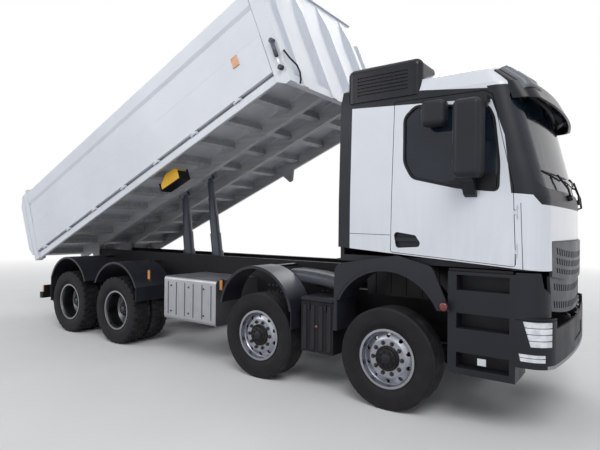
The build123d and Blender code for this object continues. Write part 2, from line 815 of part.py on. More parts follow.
with BuildPart() as lamps:
    for side in (-1, 1):
        with Locations((underrun_x - 10, side * lamp_y, underrun_z + underrun_height / 2 + 62)):
            Box(60 - 2 * seat_gap, 380, 115)
        for outline, inner_y, strips in lamp_table:
            add(lamp_lens(side, outline, inner_y, strips))
save(lamps, "lamps")

# Lift rams
barrel_foot = 60.0
cavity = 35.0
head_room = 82.0
stage_step = 8.0
eye_radius = 40.0
neck_radius = 38.0
neck_length = 80.0


def ram_reach(base_x, top_u, angle):
    """Length from base pin to top pin at a bed angle."""
    x, z = bed_point(top_u, ram_pin_n, angle)
    return hypot(x - base_x, z - ram_base_z)


for name, base_x, top_u, stages in rams:
    closed = ram_reach(base_x, top_u, 0)
    rest = ram_reach(base_x, top_u, bed_angle)
    top_x, top_z = bed_point(top_u, ram_pin_n)
    along = ((top_x - base_x) / rest, 0, (top_z - ram_base_z) / rest)
    ram_plane = Plane(origin=(base_x, 0, ram_base_z), x_dir=(0, 1, 0), z_dir=along)
    extension = (rest - closed) / stages
    barrel_top = closed - head_room
    with BuildPart() as barrel:
        with BuildSketch(ram_plane.offset(-barrel_foot)):
            Circle(barrel_radius)
        extrude(amount=barrel_top + barrel_foot)
        with BuildSketch(ram_plane.offset(cavity)):
            Circle(barrel_radius - ram_wall)
        extrude(amount=barrel_top - cavity, mode=Mode.SUBTRACT)
        with Locations((base_x, 0, ram_base_z)):
            trunnion_half = hanger_plate_y + hanger_plate_thickness + 10
            Cylinder(trunnion_radius, 2 * trunnion_half, rotation=(90, 0, 0))
    save(barrel, f"ram_{name}_barrel")
    radius = barrel_radius - ram_wall - ram_gap
    for stage in range(1, stages + 1):
        shift = extension * stage
        low = cavity + 5
        high = barrel_top + stage_step * stage
        with BuildPart() as tube:
            with BuildSketch(ram_plane.offset(low + shift)):
                Circle(radius)
                if stage < stages:
                    Circle(radius - ram_wall, mode=Mode.SUBTRACT)
            if stage < stages:
                extrude(amount=high - low)
            else:
                extrude(amount=closed - neck_length - low)
                with BuildSketch(ram_plane.offset(low + shift)):
                    Circle(neck_radius)
                extrude(amount=closed - low)
                with Locations((top_x, 0, top_z)):
                    Cylinder(eye_radius, 2 * (cheek_y - seat_gap), rotation=(90, 0, 0))
        save(tube, f"ram_{name}_stage_{stage}")
        radius -= ram_wall + ram_gap

# Cab
# z, rear x, x of the front corner, x at the middle of the front, half width, corner radius
cab_sections = [
    (1478.0, -570.0, 1440.0, 1520.0, 1150.0, 220.0),
    (2120.0, -570.0, 1430.0, 1510.0, 1150.0, 220.0),
    (3150.0, -570.0, 1150.0, 1270.0, 1120.0, 200.0),
    (3290.0, -562.0, 1061.0, 1172.0, 1083.0, 200.0),
    (3345.0, -530.0, 935.0, 1045.0, 965.0, 190.0),
]
cab_floor_z = 1545.0
roof_wall = 50.0


def cab_block(inset, z_floor=None, roof_drop=0.0):
    """Cab body as ruled lofts between plan outlines, drawn in by inset all round."""
    rows = [list(row) for row in cab_sections]
    rows[-1][0] -= roof_drop
    if z_floor is not None:
        rows[0][0] = z_floor
    with BuildPart() as block:
        for lower, upper in zip(rows, rows[1:]):
            for z, rear, edge, mid, half_width, radius in (lower, upper):
                with BuildSketch(Plane.XY.offset(z)) as plan:
                    make_face(
                        nose(
                            front_axle_x + edge,
                            front_axle_x + mid,
                            half_width,
                            front_axle_x + rear + inset,
                            inset,
                        )
                    )
                    fillet(plan.vertices().sort_by(Axis.X)[-2:], radius - inset)
            loft(ruled=True)
    return block.part


door_outline = [(37, 1590), (1215, 1505), (1190, 2200), (1005, 3040), (930, 3085), (55, 3100)]
window_outline = [
    (166, 2925),
    (172, 2477),
    (258, 2323),
    (714, 2211),
    (1062, 2173),
    (1067, 2422),
    (1020, 2827),
    (966, 2941),
    (280, 3030),
]
side_depth = 420.0
windscreen_half_low = 1085.0
windscreen_half_high = 1088.0
windscreen_low = 2190.0
windscreen_high = 3090.0
windscreen_round = 90.0
windscreen_outline = [
    (-windscreen_half_low, windscreen_low),
    (windscreen_half_low, windscreen_low),
    (windscreen_half_high, windscreen_high),
    (-windscreen_half_high, windscreen_high),
]
sill_outline = [(-700, 1400), (1180, 1400), (1180, 1496), (-700, 1635)]
sill_depth = 200.0
louvre_count = 6
louvre_pitch = 36.0
# middle x, y and z, length, width, height and corner radius: main mirror, wide-angle mirror
mirror_table = [
    (852.0, 1312.0, 2625.0, 245.0, 215.0, 690.0, 55.0),
    (510.0, 1228.0, 2905.0, 235.0, 150.0, 240.0, 50.0),
]
# middle x, length, and outline in y and z
mirror_arms = [
    (955.0, 60.0, [(1125.6, 2970), (1125.6, 3010), (1240, 3010), (1240, 2900), (1210, 2900), (1205, 2970)]),
    (
        830.0,
        110.0,
        [
            (1150.2, 2120),
            (1149.2, 2160),
            (1250, 2320),
            (1340, 2320),
            (1340, 2280),
            (1290, 2250),
            (1200, 2140),
        ],
    ),
    (510.0, 70.0, [(1124.2, 3018), (1123.3, 3050), (1210, 3035), (1230, 2990), (1190, 2990), (1160, 3018)]),
]
grip_outline = [(70, 1800), (300, 1765), (375, 1655), (100, 1635)]
door_round = 30.0
window_round = 45.0
hinge_heights = (1640.0, 1980.0)
hinge_radius = 8.0
hinge_half = 20.0
hinge_arm = 46.0
notch_radius = 13.0
notch_half = 60.0


def rounded_box(length, width, height, corner):
    """Block with all its edges rounded."""
    with BuildPart() as block:
        Box(length, width, height)
        fillet(block.edges(), corner)
    return block.part


def side_cut(side, outline, depth, inset=0.0, front_x=None, corner=0.0):
    """Outline on one side of the cab swept inward by depth, drawn in by inset."""
    with BuildPart() as cut:
        with BuildSketch(side_plane(1300.0 if side > 0 else -1300.0 + depth)) as shape:
            Polygon(*place(outline), align=None)
            if corner:
                fillet(shape.vertices(), corner)
            if inset:
                offset(amount=-inset, kind=Kind.ARC if corner else Kind.INTERSECTION, mode=Mode.REPLACE)
            if front_x is not None:
                with Locations((front_x + 100, 2300)):
                    Rectangle(200, 2000, mode=Mode.SUBTRACT)
        extrude(amount=depth)
    return cut.part


cab_outer = cab_block(0)
cab_hollow = cab_block(cab_wall, cab_floor_z, roof_wall)
skin_hollow = cab_block(cab_wall, cab_sections[0][0], roof_wall)
opening_hollow = cab_block(cab_wall + door_gap, cab_sections[0][0], roof_wall)
glass_outer = cab_block(glass_inset, None, glass_inset)
glass_inner = cab_block(glass_inset + glass_thickness, 1485.0, glass_inset + glass_thickness)

with BuildPart() as cab_shell:
    add(cab_outer)
    add(cab_hollow, mode=Mode.SUBTRACT)
    # the lower edge of the sides rises towards the rear
    for side in (-1, 1):
        add(side_cut(side, sill_outline, sill_depth), mode=Mode.SUBTRACT)
    # windscreen
    with BuildSketch(Plane.YZ.offset(front_axle_x + 1000)) as screen:
        Polygon(*windscreen_outline, align=None)
        fillet(screen.vertices(), windscreen_round)
    extrude(amount=900, mode=Mode.SUBTRACT)
    # door openings
    for side in (-1, 1):
        add(side_cut(side, door_outline, side_depth, corner=door_round) - opening_hollow, mode=Mode.SUBTRACT)
        for z in hinge_heights:
            with Locations((door_axis_x, side * door_axis_y, z)):
                Cylinder(notch_radius, 2 * notch_half, mode=Mode.SUBTRACT)
            with Locations((door_axis_x - 17, side * (door_axis_y + 5), z)):
                Box(34, 22, 2 * (hinge_half + 3), mode=Mode.SUBTRACT)
            for end in (-1, 1):
                lug = notch_half + 2 - hinge_half - seat_gap
                lug_z = z + end * (hinge_half + seat_gap + lug / 2)
                with Locations((door_axis_x, side * door_axis_y, lug_z)):
                    Cylinder(hinge_radius, lug)
        # tilt arms down to the pivot
        y = side * arm_y + arm_width / 2
        with BuildSketch(side_plane(y)):
            Polygon(
                (cab_pivot_x + 24, cab_pivot_z - 14),
                (cab_pivot_x + 20, cab_pivot_z + 14),
                (cab_pivot_x - 30, cab_pivot_z + 46),
                (cab_pivot_x - 60, cab_pivot_z + 180),
                (cab_pivot_x - 90, cab_floor_z - 20),
                (cab_pivot_x - 420, cab_floor_z - 20),
                (cab_pivot_x - 180, cab_pivot_z + 120),
                (cab_pivot_x - 30, cab_pivot_z - 14),
                (cab_pivot_x - 14, cab_pivot_z - 26),
                (cab_pivot_x + 14, cab_pivot_z - 26),
                align=None,
            )
        extrude(amount=arm_width)
        pin_end = frame_half_width + 8
        pin_start = arm_y - arm_width / 2
        with Locations((cab_pivot_x, side * (pin_start + pin_end) / 2, cab_pivot_z)):
            Cylinder(cab_pin_radius, pin_end - pin_start, rotation=(90, 0, 0))
save(cab_shell, "cab_shell")

with BuildPart() as windscreen:
    add(glass_outer)
    add(glass_inner, mode=Mode.SUBTRACT)
    with BuildSketch(Plane.YZ.offset(front_axle_x + 1000)) as screen:
        Polygon(*windscreen_outline, align=None)
        fillet(screen.vertices(), windscreen_round)
        offset(amount=-seat_gap, mode=Mode.REPLACE)
    extrude(amount=1200, mode=Mode.INTERSECT)
save(windscreen, "windscreen")

for word, side in sides:
    with BuildPart() as door:
        add(cab_outer)
        add(skin_hollow, mode=Mode.SUBTRACT)
        front_x = front_axle_x + door_outline[1][0] - door_front_gap
        add(side_cut(side, door_outline, side_depth, door_gap, front_x, door_round), mode=Mode.INTERSECT)
        add(side_cut(side, window_outline, side_depth, corner=window_round), mode=Mode.SUBTRACT)
        # grip recess with its pull bar
        grip_y = door_face_y - grip_depth
        with BuildSketch(side_plane(max(side * grip_y, side * (grip_y + 100)))) as grip:
            Polygon(*place(grip_outline), align=None)
            fillet(grip.vertices(), 35)
        extrude(amount=100, mode=Mode.SUBTRACT)
        with Locations((front_axle_x + 225, side * (door_face_y - 12), 1722)):
            Box(310, 12, 34)
        for z in hinge_heights:
            with Locations((door_axis_x, side * door_axis_y, z)):
                Cylinder(hinge_radius, 2 * hinge_half)
            with Locations((door_axis_x - hinge_arm / 2, side * door_axis_y, z)):
                Box(hinge_arm, 8, 2 * hinge_half)
    save(door, f"door_{word}")

    with BuildPart() as door_glass:
        add(glass_outer)
        add(glass_inner, mode=Mode.SUBTRACT)
        add(side_cut(side, window_outline, side_depth, seat_gap, corner=window_round), mode=Mode.INTERSECT)
    save(door_glass, f"door_glass_{word}")

    with BuildPart() as mirror:
        for x, y, z, length, width, height, corner in mirror_table:
            add(Pos(front_axle_x + x, side * y, z) * rounded_box(length, width, height, corner))
        for x, length, points in mirror_arms:
            with BuildSketch(Plane.YZ.offset(front_axle_x + x - length / 2)):
                Polygon(*[(side * y, z) for y, z in points], align=None)
            extrude(amount=length)
    save(mirror, f"mirror_{word}")

grille_wall = 30.0
grille_edge_x = 1465.0
grille_mid_x = 1550.0
slot_pitch = 68.0
slot_width = 34.0
slot_lean = 10.0
slot_count = 25
slot_drop = 75.0
# name, set-back, z of the lower edge at the end and in the middle, the same of the upper edge,
# half width below and above, slot rows as z at the end and slot height
grille_table = [
    (
        "lower_grille",
        20.0,
        (1118.0, 1045.0),
        (1425.0, 1352.0),
        (885.0, grille_half_width),
        [(1190.0, 62.0), (1345.0, 62.0)],
    ),
    (
        "upper_grille",
        0.0,
        (1425.0 + seat_gap, 1352.0 + seat_gap),
        (1722.0, 1722.0),
        (grille_half_width, grille_half_width),
        [(1492.0, 48.0), (1576.0, 58.0), (1662.0, 62.0)],
    ),
]
for name, set_back, low, high, half_widths, rows in grille_table:
    edge_x = front_axle_x + grille_edge_x - set_back
    mid_x = front_axle_x + grille_mid_x - set_back
    with BuildPart() as grille:
        with BuildSketch(Plane.XY.offset(low[1])):
            make_face(nose(edge_x, mid_x, grille_half_width, edge_x - 60, 0))
        extrude(amount=high[0] - low[1])
        with BuildSketch(Plane.XY.offset(low[1])):
            make_face(nose(edge_x, mid_x, grille_half_width + 2 * grille_wall, edge_x - 61, grille_wall))
        extrude(amount=high[0] - low[1], mode=Mode.SUBTRACT)
        # the front outline: lower and upper edges bowed down to the middle
        with BuildSketch(Plane.YZ.offset(edge_x - 100)):
            with BuildLine():
                low_half, high_half = half_widths
                if high[0] == high[1]:
                    upper = Line((-high_half, high[0]), (high_half, high[0]))
                else:
                    upper = ThreePointArc((-high_half, high[0]), (0, high[1]), (high_half, high[0]))
                lower = ThreePointArc((low_half, low[0]), (0, low[1]), (-low_half, low[0]))
                Line(upper @ 1, lower @ 0)
                Line(lower @ 1, upper @ 0)
            make_face()
        extrude(amount=300, mode=Mode.INTERSECT)
        # rows of leaning slots that follow the bow
        with BuildSketch(Plane.YZ.offset(edge_x - 100)):
            for row_z, slot_height in rows:
                for index in range(slot_count):
                    y = (index - (slot_count - 1) / 2) * slot_pitch
                    z = row_z - slot_drop * (1 - (y / grille_half_width) ** 2)
                    half = slot_height / 2
                    Polygon(
                        (y - slot_width / 2 - slot_lean, z + half),
                        (y + slot_width / 2 - slot_lean, z + half),
                        (y + slot_width / 2 + slot_lean, z - half),
                        (y - slot_width / 2 + slot_lean, z - half),
                        align=None,
                    )
        extrude(amount=300, mode=Mode.SUBTRACT)
        add(cab_outer, mode=Mode.SUBTRACT)
    save(grille, name)

with BuildPart() as roof_air_intake:
    with Locations((front_axle_x - 80, -915, 3330)):
        Box(830, 440, 370)
    upper = roof_air_intake.faces().sort_by(Axis.Z)[-1].edges()
    upright = roof_air_intake.edges().filter_by(Axis.Z)
    fillet(upper + upright, 75)
    # louvres in the outer face
    for index in range(louvre_count):
        with Locations((front_axle_x - 80, -1135, 3215 + index * louvre_pitch)):
            Box(560, 20, 14, mode=Mode.SUBTRACT)
    add(cab_outer, mode=Mode.SUBTRACT)
save(roof_air_intake, "roof_air_intake")

# z, x at the corner and in the middle of the visor's outer face
visor_rows = [(2990.0, 1345.0, 1450.0), (3150.0, 1258.0, 1366.0), (3270.0, 1112.0, 1222.0)]
visor_wall = 22.0
with BuildPart() as sun_visor:
    for inset, mode in ((0.0, Mode.ADD), (visor_wall, Mode.SUBTRACT)):
        rear_x = front_axle_x + 950 - inset
        for rows in zip(visor_rows, visor_rows[1:]):
            for z, edge, mid in rows:
                with BuildSketch(Plane.XY.offset(z)) as plan:
                    make_face(nose(front_axle_x + edge, front_axle_x + mid, 1075.0, rear_x, inset))
                    fillet(plan.vertices().sort_by(Axis.X)[-2:], 170 - inset)
            loft(ruled=True, mode=mode)
    with Locations((front_axle_x + 950, 0, 3130)):
        Box(100, 2400, 400, mode=Mode.SUBTRACT)
    add(cab_outer, mode=Mode.SUBTRACT)
save(sun_visor, "sun_visor")

with BuildPart() as seats:
    for side in (-1, 1):
        with BuildSketch(side_plane(side * 520 + 260)):
            Polygon(
                *place(
                    [
                        (-60, cab_floor_z + seat_gap),
                        (480, cab_floor_z + seat_gap),
                        (520, cab_floor_z + 480),
                        (60, cab_floor_z + 430),
                        (-110, cab_floor_z + 1180),
                        (-260, cab_floor_z + 1150),
                        (-80, cab_floor_z + 320),
                    ]
                ),
                align=None,
            )
        extrude(amount=520)
save(seats, "seats")

with BuildPart() as dashboard:
    with BuildSketch(side_plane(1000)):
        Polygon(
            *place(
                [
                    (1010, cab_floor_z + 300),
                    (1340, cab_floor_z + 200),
                    (1370, cab_floor_z + 520),
                    (1180, cab_floor_z + 640),
                    (1000, cab_floor_z + 560),
                ]
            ),
            align=None,
        )
    extrude(amount=2000)
    with Locations((front_axle_x + 1250, 0, cab_floor_z + 120)):
        Box(200, 300, 240 - 2 * seat_gap)
save(dashboard, "dashboard")

# Load bed
bed_cross_width = 90.0
bed_cross_n = 225.0
bed_cross_count = 12
ram_bay_half = 200.0
hinge_places = [-130.0 + 840.0 * index for index in range(7)]
board_length = board_front_u - board_rear_u
corner_width = 125.0
rib_width = 90.0
rib_places = [-950.0, -320.0, 320.0, 950.0]
bed_hinge_radius = 14.0
bed_hinge_half = 35.0
with BuildPart() as bed_tub:
    # floor plate
    with BuildSketch(bed_section(post_rear_u)):
        with Locations((0, floor_n + floor_thickness / 2)):
            Rectangle(2 * (bed_half_width - board_thickness - 5), floor_thickness)
    extrude(amount=headboard_u - post_rear_u + headboard_plate)
    # longitudinal beams above the subframe rails, and the edge rails
    with BuildSketch(bed_section(post_rear_u)):
        for side in (-1, 1):
            with Locations((side * rail_y, (beam_n + floor_n) / 2)):
                Rectangle(rail_flange, floor_n - beam_n)
            with Locations((side * (edge_rail_y - edge_rail_width / 2), (beam_n + edge_rail_top_n) / 2)):
                Rectangle(edge_rail_width, edge_rail_top_n - beam_n)
            with Locations((side * (edge_rail_y - edge_rail_width + 3), (edge_rail_top_n + floor_n) / 2)):
                Rectangle(6, floor_n - edge_rail_top_n)
    extrude(amount=headboard_u - post_rear_u)
    # crossmembers
    for index in range(bed_cross_count):
        u = post_rear_u + bed_cross_width / 2 + index * (headboard_u - post_rear_u - bed_cross_width) / (
            bed_cross_count - 1
        )
        clash = False
        for name, base_x, top_u, stages in rams:
            if abs(u - top_u) < ram_bay_half:
                clash = True
        for side in (-1, 1):
            with BuildSketch(bed_section(u - bed_cross_width / 2)):
                inner = rail_y if clash else 0
                outer = edge_rail_y - edge_rail_width + 3
                with Locations((side * (inner + outer) / 2, (bed_cross_n + floor_n) / 2)):
                    Rectangle(outer - inner, floor_n - bed_cross_n)
            extrude(amount=bed_cross_width)
    # cheeks for the ram heads
    for name, base_x, top_u, stages in rams:
        for side in (-1, 1):
            with BuildSketch(bed_side(side * (cheek_y + 6) + 6)):
                with Locations((top_u, (ram_pin_n - 40 + floor_n) / 2)):
                    Rectangle(200, floor_n - ram_pin_n + 40)
            extrude(amount=12)
    # tipping brackets that hold the pin
    for side in (-1, 1):
        for y in (rail_y - rail_flange / 2 - 21, rail_y + rail_flange / 2 + 1):
            with BuildSketch(bed_side(side * (y + 10) + 10)):
                Polygon((-170, beam_n + 60), (-70, -60), (70, -60), (170, beam_n + 60), align=None)
            extrude(amount=20)
        with BuildSketch(bed_side(side * rail_y + rail_flange / 2 + 21)):
            with Locations((0, beam_n + 6)):
                Rectangle(300, 12)
        extrude(amount=rail_flange + 42)
        with BuildSketch(bed_side(side * rail_y + rail_flange / 2 + 22)):
            Circle(tip_pin_radius)
        extrude(amount=rail_flange + 44)
    # rear posts with hinge lugs for the tailgate
    for side in (-1, 1):
        with BuildSketch(bed_side(side * (bed_half_width - 62.5) + 62.5)):
            Polygon(
                (post_rear_u, beam_n),
                (board_rear_u - end_gap, beam_n),
                (board_rear_u - end_gap, board_top_n + 10),
                (post_rear_u, board_top_n + 10),
                align=None,
            )
        extrude(amount=125)
        for y in (bed_half_width - 105, bed_half_width - 45):
            with BuildSketch(bed_side(side * y + 10)):
                with Locations((gate_hinge_u, (board_top_n + gate_hinge_n + 30) / 2)):
                    Rectangle(70, gate_hinge_n + 30 - board_top_n)
                with Locations((gate_hinge_u, gate_hinge_n)):
                    Circle(18 + seat_gap, mode=Mode.SUBTRACT)
            extrude(amount=20)
    # headboard with its corner posts, folded ribs, waist fold and top rail
    with BuildSketch(bed_section(headboard_u)):
        with Locations((0, (headboard_low_n + headboard_top_n) / 2)):
            Rectangle(2 * bed_half_width, headboard_top_n - headboard_low_n)
    extrude(amount=headboard_plate)
    for side in (-1, 1):
        with BuildSketch(bed_side(side * (bed_half_width - corner_width / 2) + corner_width / 2)):
            Polygon(
                (board_front_u + end_gap, beam_n),
                (headboard_u, headboard_low_n),
                (headboard_front_u, headboard_low_n),
                (headboard_front_u, headboard_crease_n),
                (headboard_u + headboard_plate, board_top_n + 10),
                (board_front_u + end_gap, board_top_n + 10),
                align=None,
            )
        extrude(amount=corner_width)
    for y in rib_places:
        with BuildSketch(bed_side(y + rib_width / 2)):
            Polygon(
                (headboard_u, headboard_low_n),
                (headboard_front_u, headboard_low_n),
                (headboard_front_u, headboard_crease_n),
                (headboard_u + headboard_plate, headboard_top_n - 60),
                (headboard_u, headboard_top_n - 60),
                align=None,
            )
        extrude(amount=rib_width)
    for low, high, depth in (
        (headboard_low_n, headboard_low_n + 120, 62),
        (headboard_top_n - 60, headboard_top_n, 40),
    ):
        with BuildSketch(bed_section(headboard_u)):
            with Locations((0, (low + high) / 2)):
                Rectangle(2 * bed_half_width, high - low)
        extrude(amount=depth)
    # hinge lugs for the side boards
    for side in (-1, 1):
        for u in hinge_places:
            for end in (-1, 1):
                centre = u + end * (bed_hinge_half + seat_gap + 15)
                with BuildSketch(bed_section(centre - 15)):
                    with Locations((side * board_hinge_y, board_hinge_n)):
                        Circle(bed_hinge_radius)
                    with Locations((side * (board_hinge_y - 18), (edge_rail_top_n + board_hinge_n) / 2 - 2)):
                        Rectangle(24, board_hinge_n - edge_rail_top_n + 4)
                extrude(amount=30)
save(bed_tub, "bed_tub")

# depth from the outer face and height n: waist fold, then the groove below the top rail
board_profile = [
    (0, board_bottom_n),
    (0, 785),
    (8, 800),
    (8, 1150),
    (24, 1175),
    (0, 1225),
    (0, board_top_n - 12),
    (12, board_top_n),
    (board_thickness, board_top_n),
    (board_thickness, board_bottom_n),
]

for word, side in sides:
    with BuildPart() as board:
        with BuildSketch(bed_section(board_rear_u)):
            Polygon(*[(side * (bed_half_width - depth), n) for depth, n in board_profile], align=None)
        extrude(amount=board_length)
        for u in hinge_places:
            with BuildSketch(bed_section(u - bed_hinge_half)):
                with Locations((side * board_hinge_y, board_hinge_n)):
                    Circle(bed_hinge_radius)
                with Locations((side * board_hinge_y, board_hinge_n + 20)):
                    Rectangle(14, 40)
            extrude(amount=2 * bed_hinge_half)
    save(board, f"side_board_{word}")

gate_inner_u = post_rear_u - gate_gap
gate_arm_y = bed_half_width - 75
gate_plate = 45.0
gate_pockets = 5
with BuildPart() as tailgate:
    with BuildSketch(bed_side(bed_half_width)):
        Polygon(
            (gate_inner_u, board_bottom_n - 15),
            (gate_inner_u, board_top_n + 10),
            (gate_inner_u - 15, board_top_n + 10),
            (gate_inner_u - gate_thickness, board_top_n - 170),
            (gate_inner_u - gate_thickness, board_bottom_n + 130),
            (gate_inner_u - gate_plate, board_bottom_n - 15),
            align=None,
        )
    extrude(amount=2 * bed_half_width)
    # pockets between the ribs of the outer face
    pocket_width = (2 * bed_half_width - (gate_pockets + 1) * rib_width) / gate_pockets
    for index in range(gate_pockets):
        y = -bed_half_width + rib_width + index * (pocket_width + rib_width)
        with BuildSketch(bed_side(y + pocket_width)):
            with Locations((gate_inner_u - gate_thickness, (board_bottom_n + board_top_n) / 2 - 20)):
                Rectangle(2 * (gate_thickness - gate_plate), 760)
        extrude(amount=pocket_width, mode=Mode.SUBTRACT)
    for side in (-1, 1):
        with BuildSketch(bed_side(side * gate_arm_y + 19.7)):
            Polygon(
                (gate_inner_u - 10, board_top_n - 60),
                (gate_inner_u - 60, board_top_n - 60),
                (gate_inner_u - 60, board_top_n + 40),
                (gate_hinge_u - 20, gate_hinge_n + 30),
                (gate_hinge_u + 28, gate_hinge_n + 28),
                (gate_hinge_u + 28, gate_hinge_n - 20),
                (gate_inner_u - 10, board_top_n + 15),
                align=None,
            )
        extrude(amount=39.4)
        with BuildSketch(bed_side(side * gate_arm_y + 45)):
            with Locations((gate_hinge_u, gate_hinge_n)):
                Circle(18)
        extrude(amount=90)
save(tailgate, "tailgate")
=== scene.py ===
import json
from math import cos, pi, radians, sin

import bmesh
import bpy
from mathutils import Matrix, Vector


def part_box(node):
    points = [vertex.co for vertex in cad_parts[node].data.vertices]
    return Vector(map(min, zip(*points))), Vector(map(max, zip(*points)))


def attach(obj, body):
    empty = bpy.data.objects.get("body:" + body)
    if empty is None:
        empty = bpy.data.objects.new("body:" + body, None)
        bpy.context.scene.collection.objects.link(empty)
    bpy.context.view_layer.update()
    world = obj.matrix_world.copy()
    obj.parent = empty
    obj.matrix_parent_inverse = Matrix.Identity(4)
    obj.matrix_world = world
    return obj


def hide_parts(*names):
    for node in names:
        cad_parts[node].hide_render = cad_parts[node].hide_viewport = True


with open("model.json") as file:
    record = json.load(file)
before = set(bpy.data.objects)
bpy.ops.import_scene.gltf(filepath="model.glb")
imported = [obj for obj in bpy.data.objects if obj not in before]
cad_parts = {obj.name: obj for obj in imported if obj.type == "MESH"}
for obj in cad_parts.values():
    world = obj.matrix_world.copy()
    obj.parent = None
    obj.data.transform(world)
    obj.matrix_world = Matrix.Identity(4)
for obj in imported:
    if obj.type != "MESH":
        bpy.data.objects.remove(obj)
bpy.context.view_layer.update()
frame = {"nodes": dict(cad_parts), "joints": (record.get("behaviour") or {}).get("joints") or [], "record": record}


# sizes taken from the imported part, metres

def middle(node):
    low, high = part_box(node)
    return (low + high) / 2


AXLES = (1, 2, 3, 4)
SIDES = (("right", -1), ("left", 1))
ACROSS = Vector((0, 1, 0))
LEAST_RADIUS = 1e-5
tyre_low, tyre_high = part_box("tyre_1_right")
tyre_radius = (tyre_high.z - tyre_low.z) / 2
front_axle_x = (tyre_low.x + tyre_high.x) / 2
axle_x = {number: middle(f"tyre_{number}_right").x for number in AXLES}
bed_tip = next(joint for joint in frame["joints"] if joint["name"] == "bed_tip")
tip = bed_tip["pos_m"]
bed_angle = radians(-bed_tip["range_deg"][0])
bed_along = Vector((cos(bed_angle), 0, sin(bed_angle)))
bed_up = Vector((-sin(bed_angle), 0, cos(bed_angle)))
BED_AXES = (bed_along, ACROSS, bed_up)


# mesh helpers

def link(piece):
    bpy.context.scene.collection.objects.link(piece)
    return piece


def add_piece(name, shape, materials, body, place=(0, 0, 0)):
    """Object made from a bmesh, riding on a body."""
    bmesh.ops.recalc_face_normals(shape, faces=shape.faces)
    mesh = bpy.data.meshes.new(name)
    shape.to_mesh(mesh)
    shape.free()
    for material in materials:
        mesh.materials.append(material)
    piece = link(bpy.data.objects.new(name, mesh))
    piece.location = place
    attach(piece, body)
    return piece


def turns(count, start=0.0):
    """Angles that divide a circle."""
    return [2 * pi * index / count + start for index in range(count)]


def circle(centre, across, other, radius, sides):
    return [centre + (across * cos(t) + other * sin(t)) * radius for t in turns(sides)]


def square_to(axis):
    """Two unit vectors square to an axis and to each other."""
    across = axis.orthogonal().normalized()
    return across, axis.cross(across)


class Builder:
    """Gathers simple solids into one mesh, each with the material in use."""

    def __init__(self, name, body, material):
        self.name = name
        self.body = body
        self.materials = [material]
        self.index = 0
        self.mesh = bmesh.new()

    def use(self, material):
        if material not in self.materials:
            self.materials.append(material)
        self.index = self.materials.index(material)
        return self

    def solid(self, rings, smooth=False, closed=False):
        """Skin between rings of points, with flat end caps unless the rings close on themselves."""
        made = [[self.mesh.verts.new(point) for point in ring] for ring in rings]
        faces = []
        pairs = list(zip(made, made[1:]))
        if closed:
            pairs.append((made[-1], made[0]))
        for lower, upper in pairs:
            for index in range(len(lower)):
                after = (index + 1) % len(lower)
                faces.append(self.mesh.faces.new((lower[index], lower[after], upper[after], upper[index])))
        for face in faces:
            face.smooth = smooth
        if not closed:
            faces += [self.mesh.faces.new(list(reversed(made[0]))), self.mesh.faces.new(made[-1])]
        for face in faces:
            face.material_index = self.index
        return self

    def box(self, centre, size, bevel, axes=(Vector((1, 0, 0)), ACROSS, Vector((0, 0, 1)))):
        """Box with its edges taken off by bevel."""
        x, y, z = axes
        a, b, c = (value / 2 for value in size)
        rings = []
        for height, inset in ((-c, bevel), (-c + bevel, 0), (c - bevel, 0), (c, bevel)):
            u, v = a - inset, b - inset
            ring = [
                (-u + bevel, -v), (u - bevel, -v), (u, -v + bevel), (u, v - bevel),
                (u - bevel, v), (-u + bevel, v), (-u, v - bevel), (-u, -v + bevel),
            ]
            rings.append([centre + x * p + y * q + z * height for p, q in ring])
        return self.solid(rings)

    def rod(self, start, end, radius, sides=12):
        across, other = square_to((end - start).normalized())
        return self.solid([circle(point, across, other, radius, sides) for point in (start, end)], True)

    def tube(self, points, radius, sides=10):
        """Round tube through points, mitred at each."""
        rings = []
        across = None
        for index, point in enumerate(points):
            before = points[max(index - 1, 0)]
            after = points[min(index + 1, len(points) - 1)]
            along = (after - before).normalized()
            if across is None:
                across = along.orthogonal().normalized()
            across = (across - along * across.dot(along)).normalized()
            rings.append(circle(point, across, along.cross(across), radius, sides))
        return self.solid(rings, True)

    def lathe(self, centre, axis, profile, sides, smooth=True):
        """Profile of (radius, distance along the axis) turned about it, closed at both ends."""
        axis = Vector(axis).normalized()
        across, other = square_to(axis)
        rings = [circle(centre + axis * shift, across, other, max(radius, LEAST_RADIUS), sides)
                 for radius, shift in profile]
        return self.solid(rings, smooth)

    def prism(self, outline, sweep):
        """Outline given as points of one plane, swept by a vector."""
        return self.solid([outline, [point + Vector(sweep) for point in outline]])

    def finish(self):
        return add_piece(self.name, self.mesh, self.materials, self.body)


# procedural materials

ROAD_DUST = (0.42, 0.40, 0.37)


def shaded(colour, share, lift=0.0):
    return tuple(min(1.0, channel * share + lift) for channel in colour)


